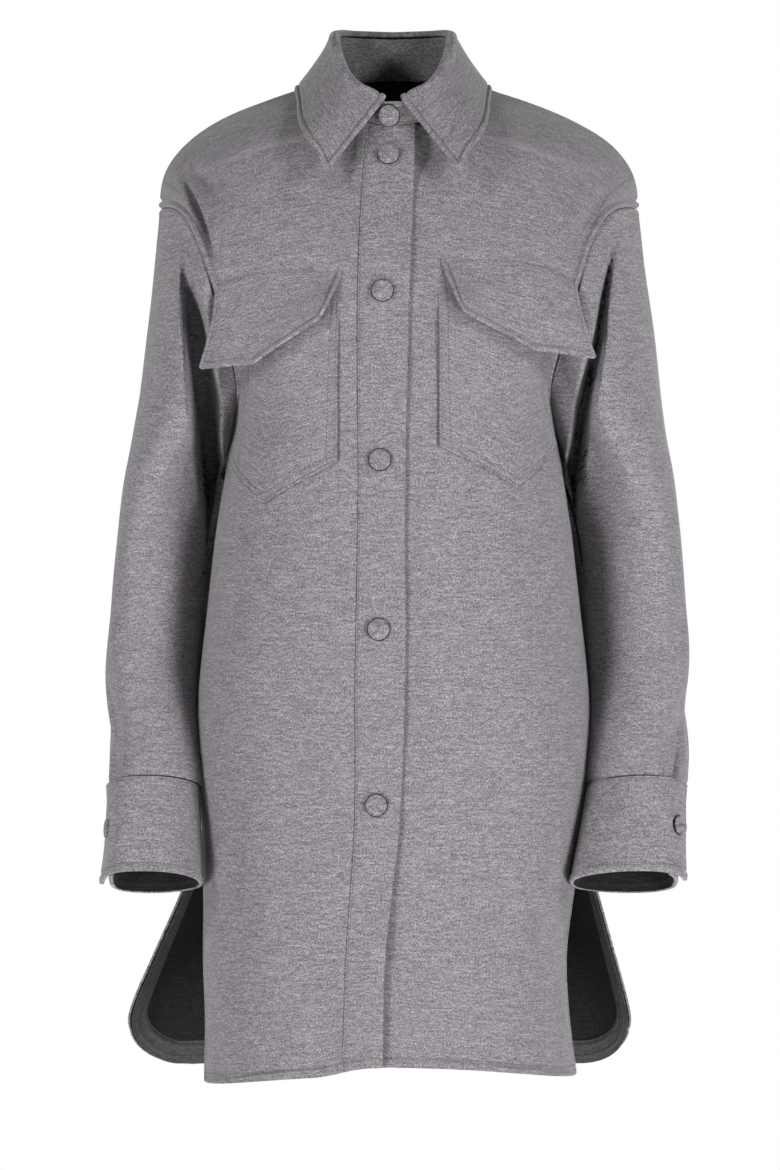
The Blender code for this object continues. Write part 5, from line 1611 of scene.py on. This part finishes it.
def add_cuffs():
    """Cuffs, each with its button."""
    for side, label in SIDES:
        name = "cuff_" + label
        strip = cuff_strip(side)
        # the cuff's inner face takes the same painted shade
        cloth_shell(name, [strip], -CUFF_WALL / 2, CUFF_WALL / 2, side > 0, [WOOL, WOOL_PAINTED_SHADE])
        add_stitches(name, [cuff_stitch(strip, CUFF_STITCH), cuff_stitch(strip, CUFF_LENGTH - NEAR_STITCH)])
        points, places, relief = strip
        row = nearest(places[:, 0, 1], CUFF_BUTTON_DOWN + CUFF_BUTTON_LOWER)
        column = nearest(places[0, :, 0], places[0, -1, 0] - CUFF_BUTTON_IN)
        _, along, _ = cuff_frame(side)
        normal = np.cross(points[row, column - 1] - points[row, column + 1], along)
        normal *= np.sign(normal[0]) * side / np.linalg.norm(normal)
        lay = CUFF_WALL / 2 + relief[row, column] + LAY_GAP - CUFF_BUTTON_SINK[side]
        centre = points[row, column] + normal * lay
        add_button("cuff_button_" + label, centre, normal, CUFF_BUTTON_RADIUS)


def add_collar():
    """Stand and leaf."""
    stand = collar_stand()
    cloth_shell("collar_stand", [stand], -WALL, 0.0, True, [WOOL, WOOL])
    add_stitches("collar_stand", [stand[0][nearest(stand[1][:, 20, 1], NEAR_STITCH)]])
    cloth_shell("collar_leaf", [collar_leaf()], 0.0, LEAF_WALL, False, [WOOL, WOOL])
    add_stitches("collar_leaf", [leaf_stitch()])


def add_front_buttons():
    """The stand's button, then those down the placket."""
    low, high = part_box("button_1")
    middle = 0.5 * (np.array(low) + np.array(high)) - [0.0, 0.0, LEAF_SINK]
    hit = SURFACES["collar_stand"].find_nearest(Vector(middle))
    normal = np.array(hit[1]) * -np.sign(hit[1][1])
    add_button("button_1", np.array(hit[0]) + normal * 1.5 * LAY_GAP, normal, BUTTON_RADIUS)
    for number, (x, z) in enumerate(BUTTONS, start=2):
        drop = SECOND_BUTTON_DROP if number == 2 else 0.0
        run, across = front_at(np.array([x]), np.array([z - drop]))
        normal = normal_of(True, run, across)[0]
        hit = SURFACES["placket"].find_nearest(Vector(panel(True, run, across)[0]))
        add_button("button_%d" % number, np.array(hit[0]) + normal * LAY_GAP, normal, BUTTON_RADIUS)


add_body()
add_patches()
add_cuffs()
add_collar()
add_front_buttons()
cloth_shell("back_hem_facing", [hem_facing()], -FACING_WALL, 0.0, False, [FACING_CLOTH, FACING_CLOTH],
            rim=FACING_RIM)


# Studio
# Lamps: name, place, aim, size, power
LAMPS = (
    ("key_right", (2.1, -1.8, 0.85), (0.0, 0.0, -0.35), 0.6, 40.5),
    ("key_left", (-2.1, -1.8, 0.90), (0.0, 0.0, -0.35), 0.6, 34.5),
    ("fill_right", (1.8, -2.0, -1.10), (0.0, 0.0, -0.50), 0.9, 58.0),
    ("fill_left", (-1.8, -2.0, -1.10), (0.0, 0.0, -0.50), 0.9, 46.0),
    ("back_wash", (0.8, 3.2, -0.25), (0.0, 0.0, -0.45), 1.2, 60.0),
)


def add_light(name, place, aim, size, power):
    """Round lamp turned to a point."""
    light = bpy.data.lights.new(name, "AREA")
    light.shape = "DISK"
    light.size = size
    light.energy = power
    thing = new_object(name, light)
    thing.location = place
    thing.rotation_euler = (Vector(aim) - Vector(place)).to_track_quat("-Z", "Y").to_euler()


scene = bpy.context.scene
for lamp in LAMPS:
    add_light(*lamp)
world = bpy.data.worlds.new("studio")
world.use_nodes = True
tree = world.node_tree
place = tree.nodes.new("ShaderNodeTexCoord")
split = tree.nodes.new("ShaderNodeSeparateXYZ")
tree.links.new(place.outputs["Generated"], split.inputs[0])
# Greys of the room from below to above, and from its front to its back: position, grey
ROOM = {
    "Z": ((0.0, 0.85), (0.42, 1.0), (0.57, 1.0), (0.68, 0.22), (1.0, 0.22)),
    "Y": ((0.0, 0.12), (0.40, 0.12), (0.75, 1.0)),
}
greys = []
for axis, stops in ROOM.items():
    position = weighted_sum(tree, ((split.outputs[axis], 0.5),), 0.5)
    greys.append(new_ramp(tree, position, [(stop, (grey,) * 3) for stop, grey in stops]))
tree.links.new(multiplied(tree, *greys), tree.nodes["Background"].inputs["Color"])
tree.nodes["Background"].inputs["Strength"].default_value = 1.0
scene.world = world
floor_mesh = bpy.data.meshes.new("floor")
floor_mesh.from_pydata([(-3, -3, -1.5), (3, -3, -1.5), (3, 3, -1.5), (-3, 3, -1.5)], [], [(0, 1, 2, 3)])
floor_paint, _, _ = new_material("floor_paint", {"Base Color": (0.85, 0.85, 0.85, 1.0), "Roughness": 0.9})
floor_mesh.materials.append(floor_paint)
floor = new_object("floor", floor_mesh)

camera = bpy.data.cameras.new("camera")
camera.lens = 145.6
camera.sensor_width = 36.0
viewer = new_object("camera", camera)
viewer.location = (-0.0028, -4.4, -0.456)
viewer.rotation_euler = (math.radians(90.0), 0.0, 0.0)
scene.camera = viewer
scene.view_settings.view_transform = "Standard"
